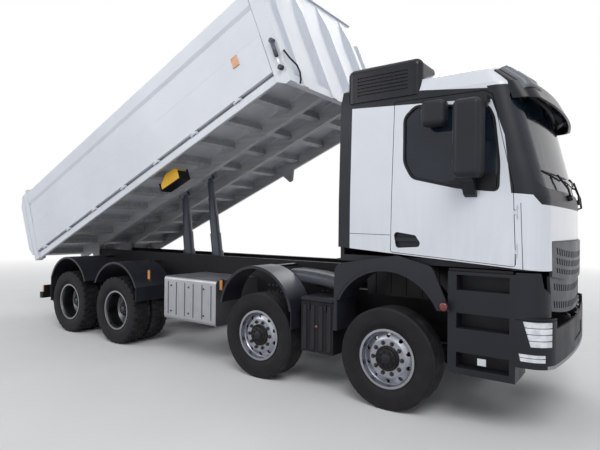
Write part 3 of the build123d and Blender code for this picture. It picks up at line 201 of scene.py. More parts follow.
class Nodes:
    """Adds nodes to a tree. A value is a number, a colour, a vector or another node's socket."""

    def __init__(self, tree):
        self.tree = tree

    def feed(self, socket, value):
        if isinstance(value, bpy.types.NodeSocket):
            self.tree.links.new(value, socket)
        else:
            socket.default_value = (*value, 1) if socket.type == "RGBA" else value

    def add(self, kind, inputs, **settings):
        """New node with its inputs given by name or number."""
        node = self.tree.nodes.new(f"ShaderNode{kind}")
        for key, value in settings.items():
            setattr(node, key, value)
        for key, value in inputs.items():
            self.feed(node.inputs[key], value)
        return node

    def place(self, output="Object"):
        """The point in the body's own frame, or another output of its coordinates."""
        return self.add("TexCoord", {}).outputs[output]

    def noise(self, scale, detail=4.0, stretch=(1, 1, 1)):
        vector = self.add("Mapping", {"Vector": self.place(), "Scale": stretch}).outputs[0]
        inputs = {"Vector": vector, "Scale": scale, "Detail": detail, "Roughness": 0.55}
        return self.add("TexNoise", inputs).outputs["Fac"]

    def cells(self, scale):
        return self.add("TexVoronoi", {"Vector": self.place(), "Scale": scale}).outputs["Distance"]

    def ramp(self, value, low, high, low_value=0.0, high_value=1.0):
        limits = {"From Min": low, "From Max": high, "To Min": low_value, "To Max": high_value}
        return self.add("MapRange", {"Value": value, **limits}).outputs["Result"]

    def maths(self, operation, *values):
        """The operation on one value, or on each next value and the result so far."""
        result = values[0]
        for value in values[1:] or (0.0,):
            result = self.add("Math", {0: result, 1: value}, operation=operation).outputs[0]
        return result

    def times(self, *values):
        return self.maths("MULTIPLY", *values)

    def plus(self, *values):
        return self.maths("ADD", *values)

    def minus(self, first, second):
        return self.maths("SUBTRACT", first, second)

    def least(self, *values):
        return self.maths("MINIMUM", *values)

    def either(self, *values):
        return self.maths("MAXIMUM", *values)

    def size(self, value):
        return self.maths("ABSOLUTE", value)

    def length(self, first, second):
        return self.maths("SQRT", self.plus(self.times(first, first), self.times(second, second)))

    def line(self, value, start, at, slope):
        """start + slope * (value - at)"""
        return self.plus(self.times(self.minus(value, at), slope), start)

    def above(self, value, edge, soft=0.001):
        """1 where the value is over the edge, which may itself vary, else 0."""
        return self.ramp(self.minus(value, edge), -soft, soft)

    def below(self, value, edge, soft=0.001):
        return self.minus(1.0, self.above(value, edge, soft))

    def axes(self, shift=(0, 0, 0)):
        """X, Y and Z of the point in the body's own frame, measured from shift."""
        split = self.add("SeparateXYZ", {0: self.place()})
        return [self.minus(part, start) if start else part for part, start in zip(split.outputs, shift)]

    def facing_in(self, centre):
        """1 on surfaces that face the point centre, as the inside of a hollow body does."""
        away = self.add("VectorMath", {0: self.place(), 1: centre}, operation="SUBTRACT").outputs[0]
        product = self.add("VectorMath", {0: away, 1: self.place("Normal")}, operation="DOT_PRODUCT")
        return self.below(product.outputs["Value"], 0.0)

    def blend(self, factor, first, second):
        return self.add("Mix", {0: factor, 6: first, 7: second}, data_type="RGBA").outputs[2]

    def mottled(self, pattern, colour, other, low=0.35, high=0.7):
        """The colour, turning to another where the pattern is high; the other may be a share of the first."""
        if isinstance(other, float):
            other = shaded(colour, other)
        return self.blend(self.ramp(pattern, low, high), colour, other)

    def seen(self):
        """1 for rays of the camera and for what gloss and glass show."""
        path = self.add("LightPath", {})
        return self.either(*(path.outputs[f"Is {kind} Ray"] for kind in ("Camera", "Glossy", "Transmission")))


class Surface(Nodes):
    """A material of one shader, with bump as its last step."""

    def __init__(self, name, colour, roughness, **settings):
        self.material = bpy.data.materials.new(name)
        self.material.use_nodes = True
        super().__init__(self.material.node_tree)
        self.shader = self.tree.nodes["Principled BSDF"]
        self.put(Base_Color=colour, Roughness=roughness, **settings)

    def put(self, **values):
        for key, value in values.items():
            self.feed(self.shader.inputs[key.replace("_", " ")], value)

    def bump(self, height, strength, distance):
        inputs = {"Strength": strength, "Distance": distance, "Height": height}
        self.put(Normal=self.add("Bump", inputs).outputs["Normal"])
        return self.material


def painted(name, colour, roughness, dust=ROAD_DUST, dust_amount=0.25, coat=0.2, specular=0.5):
    """Sprayed paint: faint mottling, a fine ripple, dust that thickens towards the ground."""
    skin = Surface(name, colour, roughness, Coat_Weight=coat, Coat_Roughness=0.08)
    skin.put(Specular_IOR_Level=specular)
    broad, fine, streak = skin.noise(1.3, 5.0), skin.noise(60.0, 3.0), skin.noise(2.0, 4.0, (9, 9, 0.8))
    x, y, z = skin.axes()
    dirt = skin.times(skin.ramp(z, 2.2, 0.3), skin.ramp(streak, 0.35, 0.75), dust_amount)
    grime = skin.times(skin.ramp(broad, 0.55, 0.85), dust_amount * 0.4)
    skin.put(Base_Color=skin.blend(skin.plus(dirt, grime), skin.mottled(broad, colour, 0.93), dust),
             Roughness=skin.ramp(fine, 0.3, 0.7, roughness * 0.85, roughness * 1.25))
    return skin.bump(fine, 0.05, 0.0004)


def moulded(name, colour, roughness, grain=320.0, dust=0.3, edge=None):
    """Grained plastic with patches of dust. Edge: the colour below a height and ahead of an x."""
    skin = Surface(name, colour, roughness, Specular_IOR_Level=0.28)
    broad = skin.noise(3.0, 5.0)
    base = skin.blend(skin.times(skin.ramp(broad, 0.45, 0.8), dust), colour, shaded(colour, 2.0, 0.02))
    if edge:
        x, y, z = skin.axes()
        other, height, front_x = edge
        base = skin.blend(skin.times(skin.below(z, height), skin.above(x, front_x)), base, other)
    skin.put(Base_Color=base, Roughness=skin.ramp(broad, 0.3, 0.7, roughness * 0.8, roughness * 1.2))
    return skin.bump(skin.noise(grain, 2.0), 0.25, 0.0006)


def metal(name, colour, roughness, stain=0.25):
    """Bare metal with brushing, dull patches and a little road film."""
    skin = Surface(name, colour, roughness, Metallic=1.0)
    broad, brushed = skin.noise(4.0, 6.0), skin.noise(40.0, 3.0, (1, 1, 14))
    film = skin.times(skin.ramp(broad, 0.45, 0.75), stain)
    gloss = skin.ramp(broad, 0.3, 0.7, roughness * 0.8, roughness * 1.3)
    skin.put(Base_Color=skin.blend(film, colour, shaded(colour, 0.55)),
             Roughness=skin.plus(gloss, skin.ramp(brushed, 0.3, 0.7, 0.0, 0.08)))
    return skin.bump(brushed, 0.12, 0.0003)


def tinted_glass(name, tint):
    """Dark tinted pane that still shows what is behind it."""
    skin = Surface(name, tint, 0.03, Alpha=0.72)
    smear = skin.noise(5.0, 5.0)
    skin.put(Base_Color=skin.mottled(smear, tint, 1.5, 0.3, 0.8),
             Roughness=skin.ramp(smear, 0.35, 0.7, 0.02, 0.10))
    return skin.material


def lens(name, colour):
    """Moulded lamp lens with fine flutes."""
    skin = Surface(name, colour, 0.15, Coat_Weight=0.6)
    skin.put(Base_Color=skin.mottled(skin.noise(12.0), colour, 0.7))
    return skin.bump(skin.add("TexWave", {"Vector": skin.place(), "Scale": 90.0}).outputs["Fac"], 0.3, 0.0008)


def woven(name, colour):
    """Seat cloth with a fine weave."""
    skin = Surface(name, colour, 0.9, Sheen_Weight=0.3)
    skin.put(Base_Color=skin.mottled(skin.noise(8.0), colour, 1.5, 0.3))
    return skin.bump(skin.cells(260.0), 0.4, 0.001)


# half width of the cab's seams, and how far from the middle they start
SEAM_HALF_WIDTH = 0.0028
PANEL_SIDE = 0.95


def cab_skin(name, white, dark):
    """White cab panels with the dark plastic areas of the cab, and a dark inside."""
    skin = Surface(name, white, 0.28, Coat_Weight=0.35, Coat_Roughness=0.08)
    above, below, line, times = skin.above, skin.below, skin.line, skin.times
    x, y, z = skin.axes((front_axle_x, 0, 0))
    width = skin.size(y)
    rear = below(x, -0.43)
    # band under the roof
    band_low = skin.least(line(x, 3.095, -0.43, -0.0642), line(x, 3.006, 0.956, -0.384))
    band_high = skin.least(line(x, 3.179, -0.43, -0.004), line(x, 3.176, 0.337, -0.122))
    band = times(above(z, band_low), below(z, band_high), above(width, 0.98))
    # windscreen's pillars and cowl
    pillar = skin.least(line(z, 0.987, 3.013, -0.3466), line(z, 1.109, 2.661, -0.119))
    cowl = skin.either(line(x, 2.147, 1.177, -0.11), 2.052)
    cowl_low = skin.minus(cowl, skin.ramp(x, 1.34, 1.40, 0.0, 0.075))
    brow = times(above(x, pillar), above(z, cowl_low), below(z, 3.12))
    behind_grille = times(above(x, 1.36), below(z, 1.735), below(width, 0.955))
    inside = skin.facing_in((front_axle_x + 0.45, 0, 2.35))
    under = below(z, line(x, 1.5837, 0.0, -0.0741))
    # recess behind the door's handle
    grip_low, grip_high = line(x, 1.622, 0.1, 0.05), line(x, 1.803, 0.07, -0.15)
    grip = times(above(x, 0.066), below(x, 0.382), above(z, grip_low), below(z, grip_high),
                 below(width, 1.1485, 0.0004))
    # seams of the corner panel ahead of the door and of the flap behind it
    seam_place = skin.size(skin.minus(x, line(z, 1.268, 1.5, -0.035)))
    side = above(width, PANEL_SIDE)
    seam = times(below(seam_place, SEAM_HALF_WIDTH), below(z, 2.06), side)
    flap_place = skin.size(skin.minus(z, line(x, 1.772, -0.43, -0.02)))
    flap = times(below(flap_place, SEAM_HALF_WIDTH), below(x, 0.034), side)
    dark_area = skin.either(rear, band, brow, behind_grille, inside, under, grip, seam, flap)
    broad, fine, streak = skin.noise(1.3, 5.0), skin.noise(70.0, 3.0), skin.noise(2.0, 4.0, (9, 9, 0.8))
    film = times(skin.ramp(z, 2.3, 1.4), skin.ramp(streak, 0.4, 0.75), 0.22)
    base = skin.blend(film, skin.mottled(broad, white, 0.94), ROAD_DUST)
    trim = skin.mottled(broad, dark, shaded(dark, 1.6, 0.01), 0.4, 0.75)
    skin.put(Base_Color=skin.blend(dark_area, base, trim),
             Roughness=skin.plus(skin.ramp(fine, 0.3, 0.7, 0.20, 0.27), times(dark_area, 0.16)),
             Coat_Weight=skin.ramp(dark_area, 0.0, 1.0, 0.5, 0.0),
             Specular_IOR_Level=skin.ramp(dark_area, 0.0, 1.0, 0.5, 0.25))
    return skin.bump(fine, 0.045, 0.0004)


def bed_surface(name, white, grime):
    """White sheet steel; the underside of the floor is greyed by dust and painted shade."""
    skin = Surface(name, white, 0.4, Coat_Weight=0.2, Coat_Roughness=0.1)
    x, y, z = skin.axes(tip)
    height = skin.minus(skin.times(z, cos(bed_angle)), skin.times(x, sin(bed_angle)))
    along = skin.plus(skin.times(x, cos(bed_angle)), skin.times(z, sin(bed_angle)))
    # underside of the floor, darkened by dust and painted shade
    under = skin.times(skin.below(height, 0.335, 0.02), skin.below(skin.size(y), 1.225, 0.01),
                       skin.below(along, 5.625))
    broad, fine, streak = skin.noise(1.6, 6.0), skin.noise(55.0, 3.0), skin.noise(1.5, 5.0, (1.2, 14, 14))
    dust_and_painted_shade = skin.times(under, skin.ramp(streak, 0.25, 0.75, 0.45, 0.95))
    film = skin.times(skin.ramp(broad, 0.5, 0.85), 0.10)
    skin.put(Base_Color=skin.blend(skin.either(dust_and_painted_shade, film), skin.mottled(broad, white, 0.94), grime),
             Roughness=skin.ramp(fine, 0.3, 0.7, 0.34, 0.5))
    return skin.bump(fine, 0.15, 0.0004)


def fender_surface(name, dark, painted_sheen, start, end):
    """Dark fenders; painted sheen: the upward faces of the arch over the second axle are painted paler."""
    skin = Surface(name, dark, 0.34, Specular_IOR_Level=0.3)
    x, y, z = skin.axes()
    upward = skin.add("SeparateXYZ", {0: skin.place("Normal")}).outputs["Z"]
    # painted sheen: upward faces between start and end take the paler colour
    top = skin.times(skin.above(x, start), skin.below(x, end), skin.ramp(upward, 0.35, 0.75))
    broad = skin.noise(3.0, 5.0)
    base = skin.blend(skin.times(skin.ramp(broad, 0.45, 0.8), 0.3), dark, shaded(dark, 2))
    skin.put(Base_Color=skin.blend(top, base, painted_sheen), Roughness=skin.ramp(broad, 0.3, 0.7, 0.28, 0.42))
    return skin.bump(skin.noise(300.0, 2.0), 0.2, 0.0005)


def wheel_metal(name, centre_x, hub_radius, drum_face, dish_shade_face, colour):
    """Polished rim with painted shade deep in its dish; dark hub and drum, told apart by their radius and face."""
    skin = Surface(name, colour, 0.24, Metallic=1.0)
    x, y, z = skin.axes((centre_x, 0, tyre_radius))
    radius, width = skin.length(x, z), skin.size(y)
    drum = skin.times(skin.below(width, drum_face, 0.0005), skin.below(radius, 0.213))
    dark = skin.either(skin.below(radius, hub_radius, 0.0005), drum)
    patches, turned = skin.noise(9.0, 6.0), skin.noise(30.0, 3.0, (1, 12, 1))
    base = skin.blend(skin.times(skin.ramp(patches, 0.45, 0.75), 0.35), colour, shaded(colour, 0.6))
    # painted shade: the rim darkens deeper into its dish
    base = skin.blend(skin.ramp(width, dish_shade_face, dish_shade_face - 0.03, 0.0, 0.75), base, shaded(colour, 0.18))
    rust = skin.mottled(patches, (0.020, 0.020, 0.023), (0.055, 0.048, 0.042), 0.4)
    skin.put(Base_Color=skin.blend(dark, base, rust),
             Roughness=skin.plus(skin.ramp(patches, 0.3, 0.7, 0.26, 0.40), skin.times(dark, 0.3)))
    return skin.bump(turned, 0.12, 0.0003)


def tyre_surface(name):
    """Rubber with moulded rings on the sidewall and dust on the tread, in the tyre's own frame."""
    skin = Surface(name, (0.02, 0.02, 0.022), 0.7, Specular_IOR_Level=0.25)
    x, y, z = skin.axes()
    radius = skin.length(x, z)
    broad, fine = skin.noise(7.0, 6.0), skin.noise(170.0, 3.0)
    bead = skin.times(skin.above(radius, 0.318), skin.below(radius, 0.372))
    rings = skin.times(skin.maths("SINE", skin.times(radius, 620.0)), bead, 1.2)
    dust = skin.mottled(broad, (0.026, 0.026, 0.027), (0.085, 0.082, 0.076), 0.35, 0.75)
    amount = skin.times(skin.ramp(broad, 0.3, 0.8), skin.ramp(radius, 0.494, 0.508, 0.12, 0.5))
    skin.put(Base_Color=skin.blend(amount, (0.009, 0.009, 0.011), dust),
             Roughness=skin.ramp(fine, 0.3, 0.7, 0.58, 0.85))
    return skin.bump(skin.plus(fine, rings), 0.35, 0.001)


def lamp_surface(name):
    """Clear lenses at the front of the truck; red, amber and white fields at the rear."""
    skin = Surface(name, (0.8, 0.82, 0.85), 0.12, Coat_Weight=0.7)
    x, y, z = skin.axes()
    width, rear = skin.size(y), skin.below(x, 0.0)
    amber = skin.times(rear, skin.above(width, 1.035))
    clear = skin.times(rear, skin.above(width, 0.83), skin.below(width, 0.90))
    patch = skin.noise(14.0)
    front = skin.mottled(patch, (0.82, 0.84, 0.88), (0.55, 0.58, 0.63))
    red = skin.mottled(patch, (0.45, 0.02, 0.015), (0.32, 0.012, 0.01))
    colour = skin.blend(amber, skin.blend(rear, front, red), (0.80, 0.26, 0.02))
    skin.put(Base_Color=skin.blend(clear, colour, (0.75, 0.77, 0.8)),
             Roughness=skin.ramp(patch, 0.3, 0.7, 0.08, 0.18))
    return skin.bump(skin.cells(90.0), 0.35, 0.001)


PLASTIC_DARK = (0.013, 0.014, 0.019)
# colour, top and least x of the silver edge along the bumper's foot
SILVER_EDGE = ((0.27, 0.28, 0.31), 0.680, 4.44)
BED_WHITE = (0.66, 0.69, 0.75)

bed_paint = painted("bed_paint", BED_WHITE, 0.4, dust_amount=0.15)
frame_paint = painted("frame_paint", (0.006, 0.0065, 0.009), 0.5, (0.032, 0.030, 0.028), 0.35, 0.0, 0.22)
ram_paint = painted("ram_paint", (0.060, 0.070, 0.100), 0.36, (0.12, 0.12, 0.12))
dark_plastic = moulded("dark_plastic", PLASTIC_DARK, 0.46, dust=0.14)
smoked_plastic = moulded("smoked_plastic", (0.010, 0.011, 0.015), 0.26, dust=0.08)
# frame covers: grey plastic, lightened by a painted sheen
cover_grey_and_sheen = moulded("cover_grey_and_sheen", (0.070, 0.076, 0.092), 0.3, dust=0.15)
lamp_housing = moulded("lamp_housing", (0.16, 0.17, 0.19), 0.3, dust=0.15)
label_film = moulded("label_film", (0.62, 0.64, 0.67), 0.4, 90.0, 0.2)
black_plastic = moulded("black_plastic", (0.006, 0.006, 0.008), 0.42, dust=0.10)
grille_plastic = moulded("grille_plastic", (0.040, 0.044, 0.055), 0.4, dust=0.12)
chock_yellow = moulded("chock_yellow", (0.75, 0.42, 0.03), 0.45, 120.0)
bumper_plastic = moulded("bumper_surface", PLASTIC_DARK, 0.45, dust=0.14, edge=SILVER_EDGE)
mirror_pane = metal("mirror_pane", (0.80, 0.83, 0.86), 0.05, 0.08)
dull_alloy = metal("dull_alloy", (0.40, 0.405, 0.43), 0.40)
dark_steel = metal("dark_steel", (0.085, 0.087, 0.095), 0.45)
chrome = metal("chrome_trim", (0.85, 0.86, 0.88), 0.08, 0.1)
amber_lens = lens("amber_lens", (0.62, 0.22, 0.025))
marker_red = lens("marker_red", (0.17, 0.014, 0.010))
clear_lens = lens("clear_lens", (0.75, 0.78, 0.8))
pane = tinted_glass("pane", (0.010, 0.016, 0.027))
seat_cloth = woven("seat_cloth", (0.03, 0.032, 0.04))
tyre_material = tyre_surface("tyre_surface")
cab_surface = cab_skin("cab_skin", (0.70, 0.73, 0.79), (0.012, 0.013, 0.018))
# the last colour is the grey of the dust and painted shade on the underside of the bed's floor
bed_skin = bed_surface("bed_skin", BED_WHITE, (0.31, 0.30, 0.29))
# x range and colour of the painted sheen on the upward faces of the fender over the second axle
painted_sheen_start = axle_x[2] - 0.20
painted_sheen_end = painted_sheen_start + 0.95
fender_skin = fender_surface("fender_skin", (0.017, 0.018, 0.024), (0.13, 0.14, 0.16), painted_sheen_start, painted_sheen_end)

# materials of the nodes that have one of their own, then of the record's slots
node_materials = {
    "cab_shell": cab_surface,
    "door_right": cab_surface,
    "door_left": cab_surface,
    "lamps": lamp_surface("lamp_lenses"),
    "sun_visor": smoked_plastic,
    "roof_air_intake": smoked_plastic,
    "fenders": fender_skin,
    "bed_tub": bed_skin,
    "bumper": bumper_plastic,
    "upper_grille": grille_plastic,
    "lower_grille": grille_plastic,
}
slot_materials = {
    "paint_bed": bed_paint,
    "paint_chassis": frame_paint,
    "ram_steel": ram_paint,
    "plastic_dark": dark_plastic,
    "alloy_sheet": dull_alloy,
    "tyre": tyre_material,
    "glass": pane,
    "trim": seat_cloth,
}
# radius of the hub, |y| of the drum's face, |y| where the painted shade deep in the dish starts, colour
front_rim = (0.1285, 1.042, 0.0, (0.36, 0.37, 0.41))
rear_rim = (0.1005, 0.884, 1.165, (0.30, 0.31, 0.34))
for number in AXLES:
    rim_metal = wheel_metal(f"rim_metal_{number}", axle_x[number], *(front_rim if number < 3 else rear_rim))
    for word, side in SIDES:
        node_materials[f"rim_{number}_{word}"] = rim_metal
for entry in frame["record"]["subparts"]:
    materials = frame["nodes"][entry["node"]].data.materials
    materials.clear()
    materials.append(node_materials.get(entry["node"]) or slot_materials[entry["material_slot"]])


# wheels

SECTORS = 180
TREAD_EDGE = 0.130
SHOULDER_EDGE = 0.146
TREAD_DEPTH = 0.013
GROOVES = (-0.078, -0.027, 0.027, 0.078)
GROOVE_HALF, BLOCK_GROOVE_HALF = 0.0055, 0.0075
GROOVE_WAVE = 0.0045
EDGE_RADIUS, GAP_RADIUS = 0.488, 0.484
TWIN_OFFSETS = (-0.1675, 0.1675)
NUT_CIRCLE = 0.1675
# place across the tread and radius of each point of the side, from the bead outward
SIDEWALL = ((0.1123, 0.2865), (0.1125, 0.304), (0.124, 0.320), (0.1275, 0.331), (0.133, 0.334),
            (0.144, 0.365), (0.150, 0.400), (0.1495, 0.430), (0.148, 0.462), (0.147, 0.474))


def tread_section(index, blocks):
    """Points across one sector of a tyre as (place across, radius)."""
    half = BLOCK_GROOVE_HALF if blocks else GROOVE_HALF
    wave = GROOVE_WAVE if index // 3 % 2 else -GROOVE_WAVE
    deep = tyre_radius - TREAD_DEPTH
    gap = blocks and index % 6 in (0, 1)
    shoulder = deep if gap else tyre_radius
    centre = deep if blocks and index % 6 in (3, 4) else tyre_radius
    edge_radius = GAP_RADIUS if gap else EDGE_RADIUS
    points = [(-SHOULDER_EDGE, edge_radius), (-TREAD_EDGE, shoulder)]
    for groove in GROOVES:
        before = shoulder if groove == GROOVES[0] else centre
        after = shoulder if groove == GROOVES[-1] else centre
        shift = groove + wave
        points += [(shift - half, before), (shift - half * 0.5, deep)]
        points += [(shift + half * 0.5, deep), (shift + half, after)]
    return points + [(TREAD_EDGE, shoulder), (SHOULDER_EDGE, edge_radius)]


def build_tyre(number, word):
    blocks = number > 2
    mesh = bmesh.new()
    for offset in TWIN_OFFSETS if blocks else (0.0,):
        rings = []
        for index, angle in enumerate(turns(SECTORS)):
            outline = [*((-y, r) for y, r in SIDEWALL), *tread_section(index, blocks), *reversed(SIDEWALL)]
            rings.append([mesh.verts.new((r * cos(angle), offset + y, r * sin(angle))) for y, r in outline])
        count = len(rings[0])
        for ring, after in zip(rings, rings[1:] + rings[:1]):
            for step in range(count):
                beyond = (step + 1) % count
                face = mesh.faces.new((ring[step], ring[beyond], after[beyond], after[step]))
                face.smooth = step < len(SIDEWALL) - 1 or step >= count - len(SIDEWALL)
    centre = middle(f"tyre_{number}_{word}")
    piece = add_piece(f"road_tyre_{number}_{word}", mesh, [tyre_material], f"wheel_{number}_{word}", centre)
    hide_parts(f"tyre_{number}_{word}")


def nut_ring(builder, centre, out, face, radius, count, size, height, turn=0.0):
    """Nuts with their washers on a circle about the axle."""
    for angle in turns(count, turn):
        place = centre + Vector((radius * cos(angle), 0, radius * sin(angle))) + out * face
        builder.lathe(place, out, ((size * 0.78, -0.002), (size * 0.78, 0.003), (size * 0.7, 0.005)), 16)
        nut = ((size * 0.58, 0.004), (size * 0.58, height * 0.8), (size * 0.5, height))
        builder.lathe(place, out, nut, 6, False)
        stud = ((size * 0.3, height * 0.8), (size * 0.3, height + 0.008), (size * 0.22, height + 0.01))
        builder.lathe(place, out, stud, 10)


def build_wheel_trim(number, word, side):
    centre = middle(f"tyre_{number}_{word}")
    builder = Builder(f"wheel_trim_{number}_{word}", f"wheel_{number}_{word}", dark_steel)
    out = ACROSS * side
    if number < 3:
        nut_ring(builder, centre, out, 0.092, NUT_CIRCLE - 0.009, 10, 0.030, 0.024)
        cover = ((0.098, 0), (0.098, 0.004), (0.088, 0.008), (0.0, 0.010))
        builder.use(black_plastic).lathe(centre + out * 0.115, out, cover, 40)
        nut_ring(builder, centre, out, 0.1225, 0.074, 8, 0.016, 0.006, 0.3)
        cap = ((0.052, 0), (0.052, 0.008), (0.046, 0.013), (0.0, 0.014))
        builder.use(dark_plastic).lathe(centre + out * 0.124, out, cap, 32)
        valve = centre + Vector((0.205, 0, 0.09)) + out * 0.075
        builder.use(chrome).rod(valve, valve + out * 0.05 + Vector((0.018, 0, 0.008)), 0.004, 8)
    else:
        nut_ring(builder, centre, out, 0.9295 - abs(centre.y), NUT_CIRCLE, 10, 0.030, 0.024)
        hub_face = 1.075 - abs(centre.y)
        nut_ring(builder, centre, out, hub_face, 0.068, 8, 0.018, 0.008)
        cap = ((0.045, 0), (0.045, 0.010), (0.038, 0.016), (0.0, 0.017))
        builder.lathe(centre + out * hub_face, out, cap, 32)
    builder.finish()


for number in AXLES:
    for word, side in SIDES:
        build_tyre(number, word)
        build_wheel_trim(number, word, side)


# small fittings

# the windscreen's foot and height, and the half width at which its bow is measured
SCREEN_Z, SCREEN_HEIGHT, SCREEN_HALF = 2.12, 1.03, 0.93
WINDOW = ((0.166, 2.925), (0.172, 2.477), (0.258, 2.323), (0.714, 2.211), (1.062, 2.173),
          (1.067, 2.422), (1.020, 2.827), (0.966, 2.941), (0.280, 3.030))
# middle x, y, z of each mirror's pane, its width and height
MIRROR_PANES = ((0.7295, 1.312, 2.735, 0.118, 0.34), (0.7295, 1.312, 2.405, 0.118, 0.14),
                (0.3925, 1.228, 2.905, 0.066, 0.14))
# pivot y, ends of the blade along y
WIPERS = ((-0.30, -0.97, -0.24), (0.66, 0.02, 0.74))
# heights of the lines across each lamp on the visor, then y and rise of its sections
ROOF_LAMP = (3.285, 3.265, 3.23, 3.19, 3.145, 3.105, 3.08)
ROOF_LAMP_RISE = ((0.76, 0.0), (0.78, 0.018), (0.84, 0.028), (0.99, 0.036), (1.035, 0.030), (1.055, 0.0))
# y, z and distance from the windscreen of the points of the grab handle
HANDLE = ((0.93, 2.33, 0.0), (0.93, 2.31, 0.055), (0.97, 2.20, 0.075), (1.00, 2.09, 0.06), (1.00, 2.07, 0.0))
# side, x, distance from the middle and height of each side lamp
SIDE_LAMPS = ((-1, -2.30, 1.185, 1.075), (1, -2.30, 1.10, 1.075),
              (-1, -3.706, 1.235, 1.12), (1, -3.706, 1.235, 1.12))
# x from the front axle of the bolt rows on each rail, and the bolts of a row along it
RAIL_ROWS = ((-0.95, 3), (-1.25, 2), (-2.15, 4), (-3.65, 4), (-4.05, 3), (-5.15, 6), (-6.25, 3))
# x from the front axle and height of the line along the top of each cover
COVER_LINE = ((-1.46, 1.312), (-1.30, 1.306), (-1.10, 1.292), (-0.92, 1.272), (-0.78, 1.250), (-0.735, 1.225))
# y and depth below that line of each corner of a cover's section
COVER_SECTION = ((0.455, 0.14), (0.855, 0.14), (0.855, 0.035), (0.80, 0.0), (0.50, 0.0), (0.455, 0.035))


def at(x, y, z):
    """Point with x measured from the front axle."""
    return Vector((front_axle_x + x, y, z))


def on_bed(u, y, n):
    """Point of the load bed: u along it from the tipping axis, n square to its floor."""
    return Vector((tip[0], y, tip[2])) + bed_along * u + bed_up * n


def cab_half(z):
    """Half width of the cab at a height."""
    return 1.15 - 0.03 * max(0.0, (z - SCREEN_Z) / SCREEN_HEIGHT)


def bowed(edge, mid, y, z, out, rise=0.0):
    """Point ahead of a bowed front with x mid in its middle and x edge near its corners."""
    return at(mid - (mid - edge) * (y / SCREEN_HALF) ** 2 + out, y, z + rise)


def on_screen(y, z, out=0.0):
    """Point in front of the windscreen."""
    share = (z - SCREEN_Z) / SCREEN_HEIGHT
    return bowed(1.43 - 0.28 * share, 1.51 - 0.24 * share, y, z, out)


def on_visor(y, z, out=0.0):
    """Point in front of the sun visor, whose lower part is steeper."""
    share = (3.27 - z) / 0.12
    edge, mid = 1.112 + 0.146 * share, 1.222 + 0.144 * share
    if share > 1:
        edge, mid = 1.258 + 0.087 * (share - 1) * 0.75, 1.366 + 0.084 * (share - 1) * 0.75
    return bowed(edge, mid, y, z, out, out * 0.5)


def rounded(points, radius, steps=5):
    """Closed outline of pairs with its corners rounded."""
    result = []
    for index, point in enumerate(points):
        here = Vector(point)
        before = Vector(points[index - 1]) - here
        after = Vector(points[(index + 1) % len(points)]) - here
        start = here + before.normalized() * min(radius, before.length / 2)
        end = here + after.normalized() * min(radius, after.length / 2)
        for step in range(steps + 1):
            share = step / steps
            result.append(start * (1 - share) ** 2 + here * 2 * share * (1 - share) + end * share ** 2)
    return result


def plate(left, right, low, high, radius):
    """Rectangle with its corners rounded."""
    return rounded([(left, low), (right, low), (right, high), (left, high)], radius)


def border(builder, path, out, width, height):
    """Raised strip along a closed path of points."""
    rings = []
    for index, point in enumerate(path):
        along = (path[(index + 1) % len(path)] - path[index - 1]).normalized()
        across = along.cross(out).normalized() * width / 2
        rise = out * height
        top = across * 0.7
        rings.append([point - across, point + across, point + top + rise, point - top + rise])
    builder.solid(rings, closed=True)


def bolt(builder, place, out, size):
    """Hexagon head on a washer."""
    builder.lathe(place, out, ((size * 1.25, -0.001), (size * 1.25, 0.002), (size * 1.1, 0.003)), 14)
    builder.lathe(place, out, ((size, 0.002), (size, size * 0.8), (size * 0.8, size)), 6, False)


def build_window_seal(word, side):
    """Seal round the window with the dark foot of the mirrors' arm."""
    seal = Builder(f"window_seal_{word}", f"door_{word}", black_plastic)
    path = [at(x, side * (cab_half(z) - 0.012), z) for x, z in rounded(WINDOW, 0.05)]
    border(seal, path, ACROSS * side, 0.030, 0.0145)
    foot = rounded([(0.60, 2.262), (0.70, 2.222), (1.045, 2.187), (1.050, 2.325), (0.82, 2.335)], 0.03)
    seal.prism([at(x, side * (cab_half(z) - 0.014), z) for x, z in foot], (0, side * 0.019, 0))
    seal.finish()


def build_mirror_panes(word, side):
    panes = Builder(f"mirror_panes_{word}", f"door_{word}", mirror_pane)
    for x, y, z, width, height in MIRROR_PANES:
        outline = plate(-width / 2, width / 2, -height / 2, height / 2, 0.025)
        panes.prism([at(x + 0.004, side * y + p, z + q) for p, q in outline], (-0.005, 0, 0))
    panes.finish()


def build_wipers():
    builder = Builder("wipers", "cab", black_plastic)
    for pivot, first, last in WIPERS:
        blade = [on_screen(first + (last - first) * i / 8, 2.345 - 0.02 * i / 8, 0.018) for i in range(9)]
        builder.tube(blade, 0.007, 8)
        builder.tube([point + Vector((-0.012, 0, -0.002)) for point in blade], 0.004, 6)
        middle_y = (first + last) / 2
        elbow = on_screen(pivot * 0.7 + middle_y * 0.3, 2.22, 0.045)
        builder.tube([on_screen(pivot, 2.135, 0.03), elbow, on_screen(middle_y, 2.335, 0.03)], 0.010, 8)
        hub = ((0.030, -0.02), (0.030, 0.035), (0.022, 0.045))
        builder.lathe(on_screen(pivot, 2.135), (1, 0, 0.25), hub, 20)
    builder.finish()


def visor_section(y, heights, front, back):
    """Closed ring at one y, between two distances from the visor."""
    return [on_visor(y, z, front) for z in heights] + [on_visor(y, z, back) for z in reversed(heights)]


def build_cab_front():
    """Lamps in the ends of the visor and the grab handle below the windscreen."""
    builder = Builder("cab_front_trim", "cab", lamp_housing)
    for word, side in SIDES:
        rings = [visor_section(side * y, ROOF_LAMP, rise, -0.05) for y, rise in ROOF_LAMP_RISE]
        panes = [visor_section(side * y, ROOF_LAMP[2:5], rise + 0.004, rise - 0.02)
                 for y, rise in ROOF_LAMP_RISE[2:4]]
        builder.use(lamp_housing).solid(rings, True)
        builder.use(clear_lens).solid(panes)
    builder.use(black_plastic)
    builder.tube([on_screen(*point) for point in HANDLE], 0.012)
    for y, z, out in (HANDLE[0], HANDLE[-1]):
        builder.lathe(on_screen(y, z, -0.01), (1, 0.25, 0), ((0.026, 0), (0.026, 0.014), (0.016, 0.02)), 18)
    builder.finish()


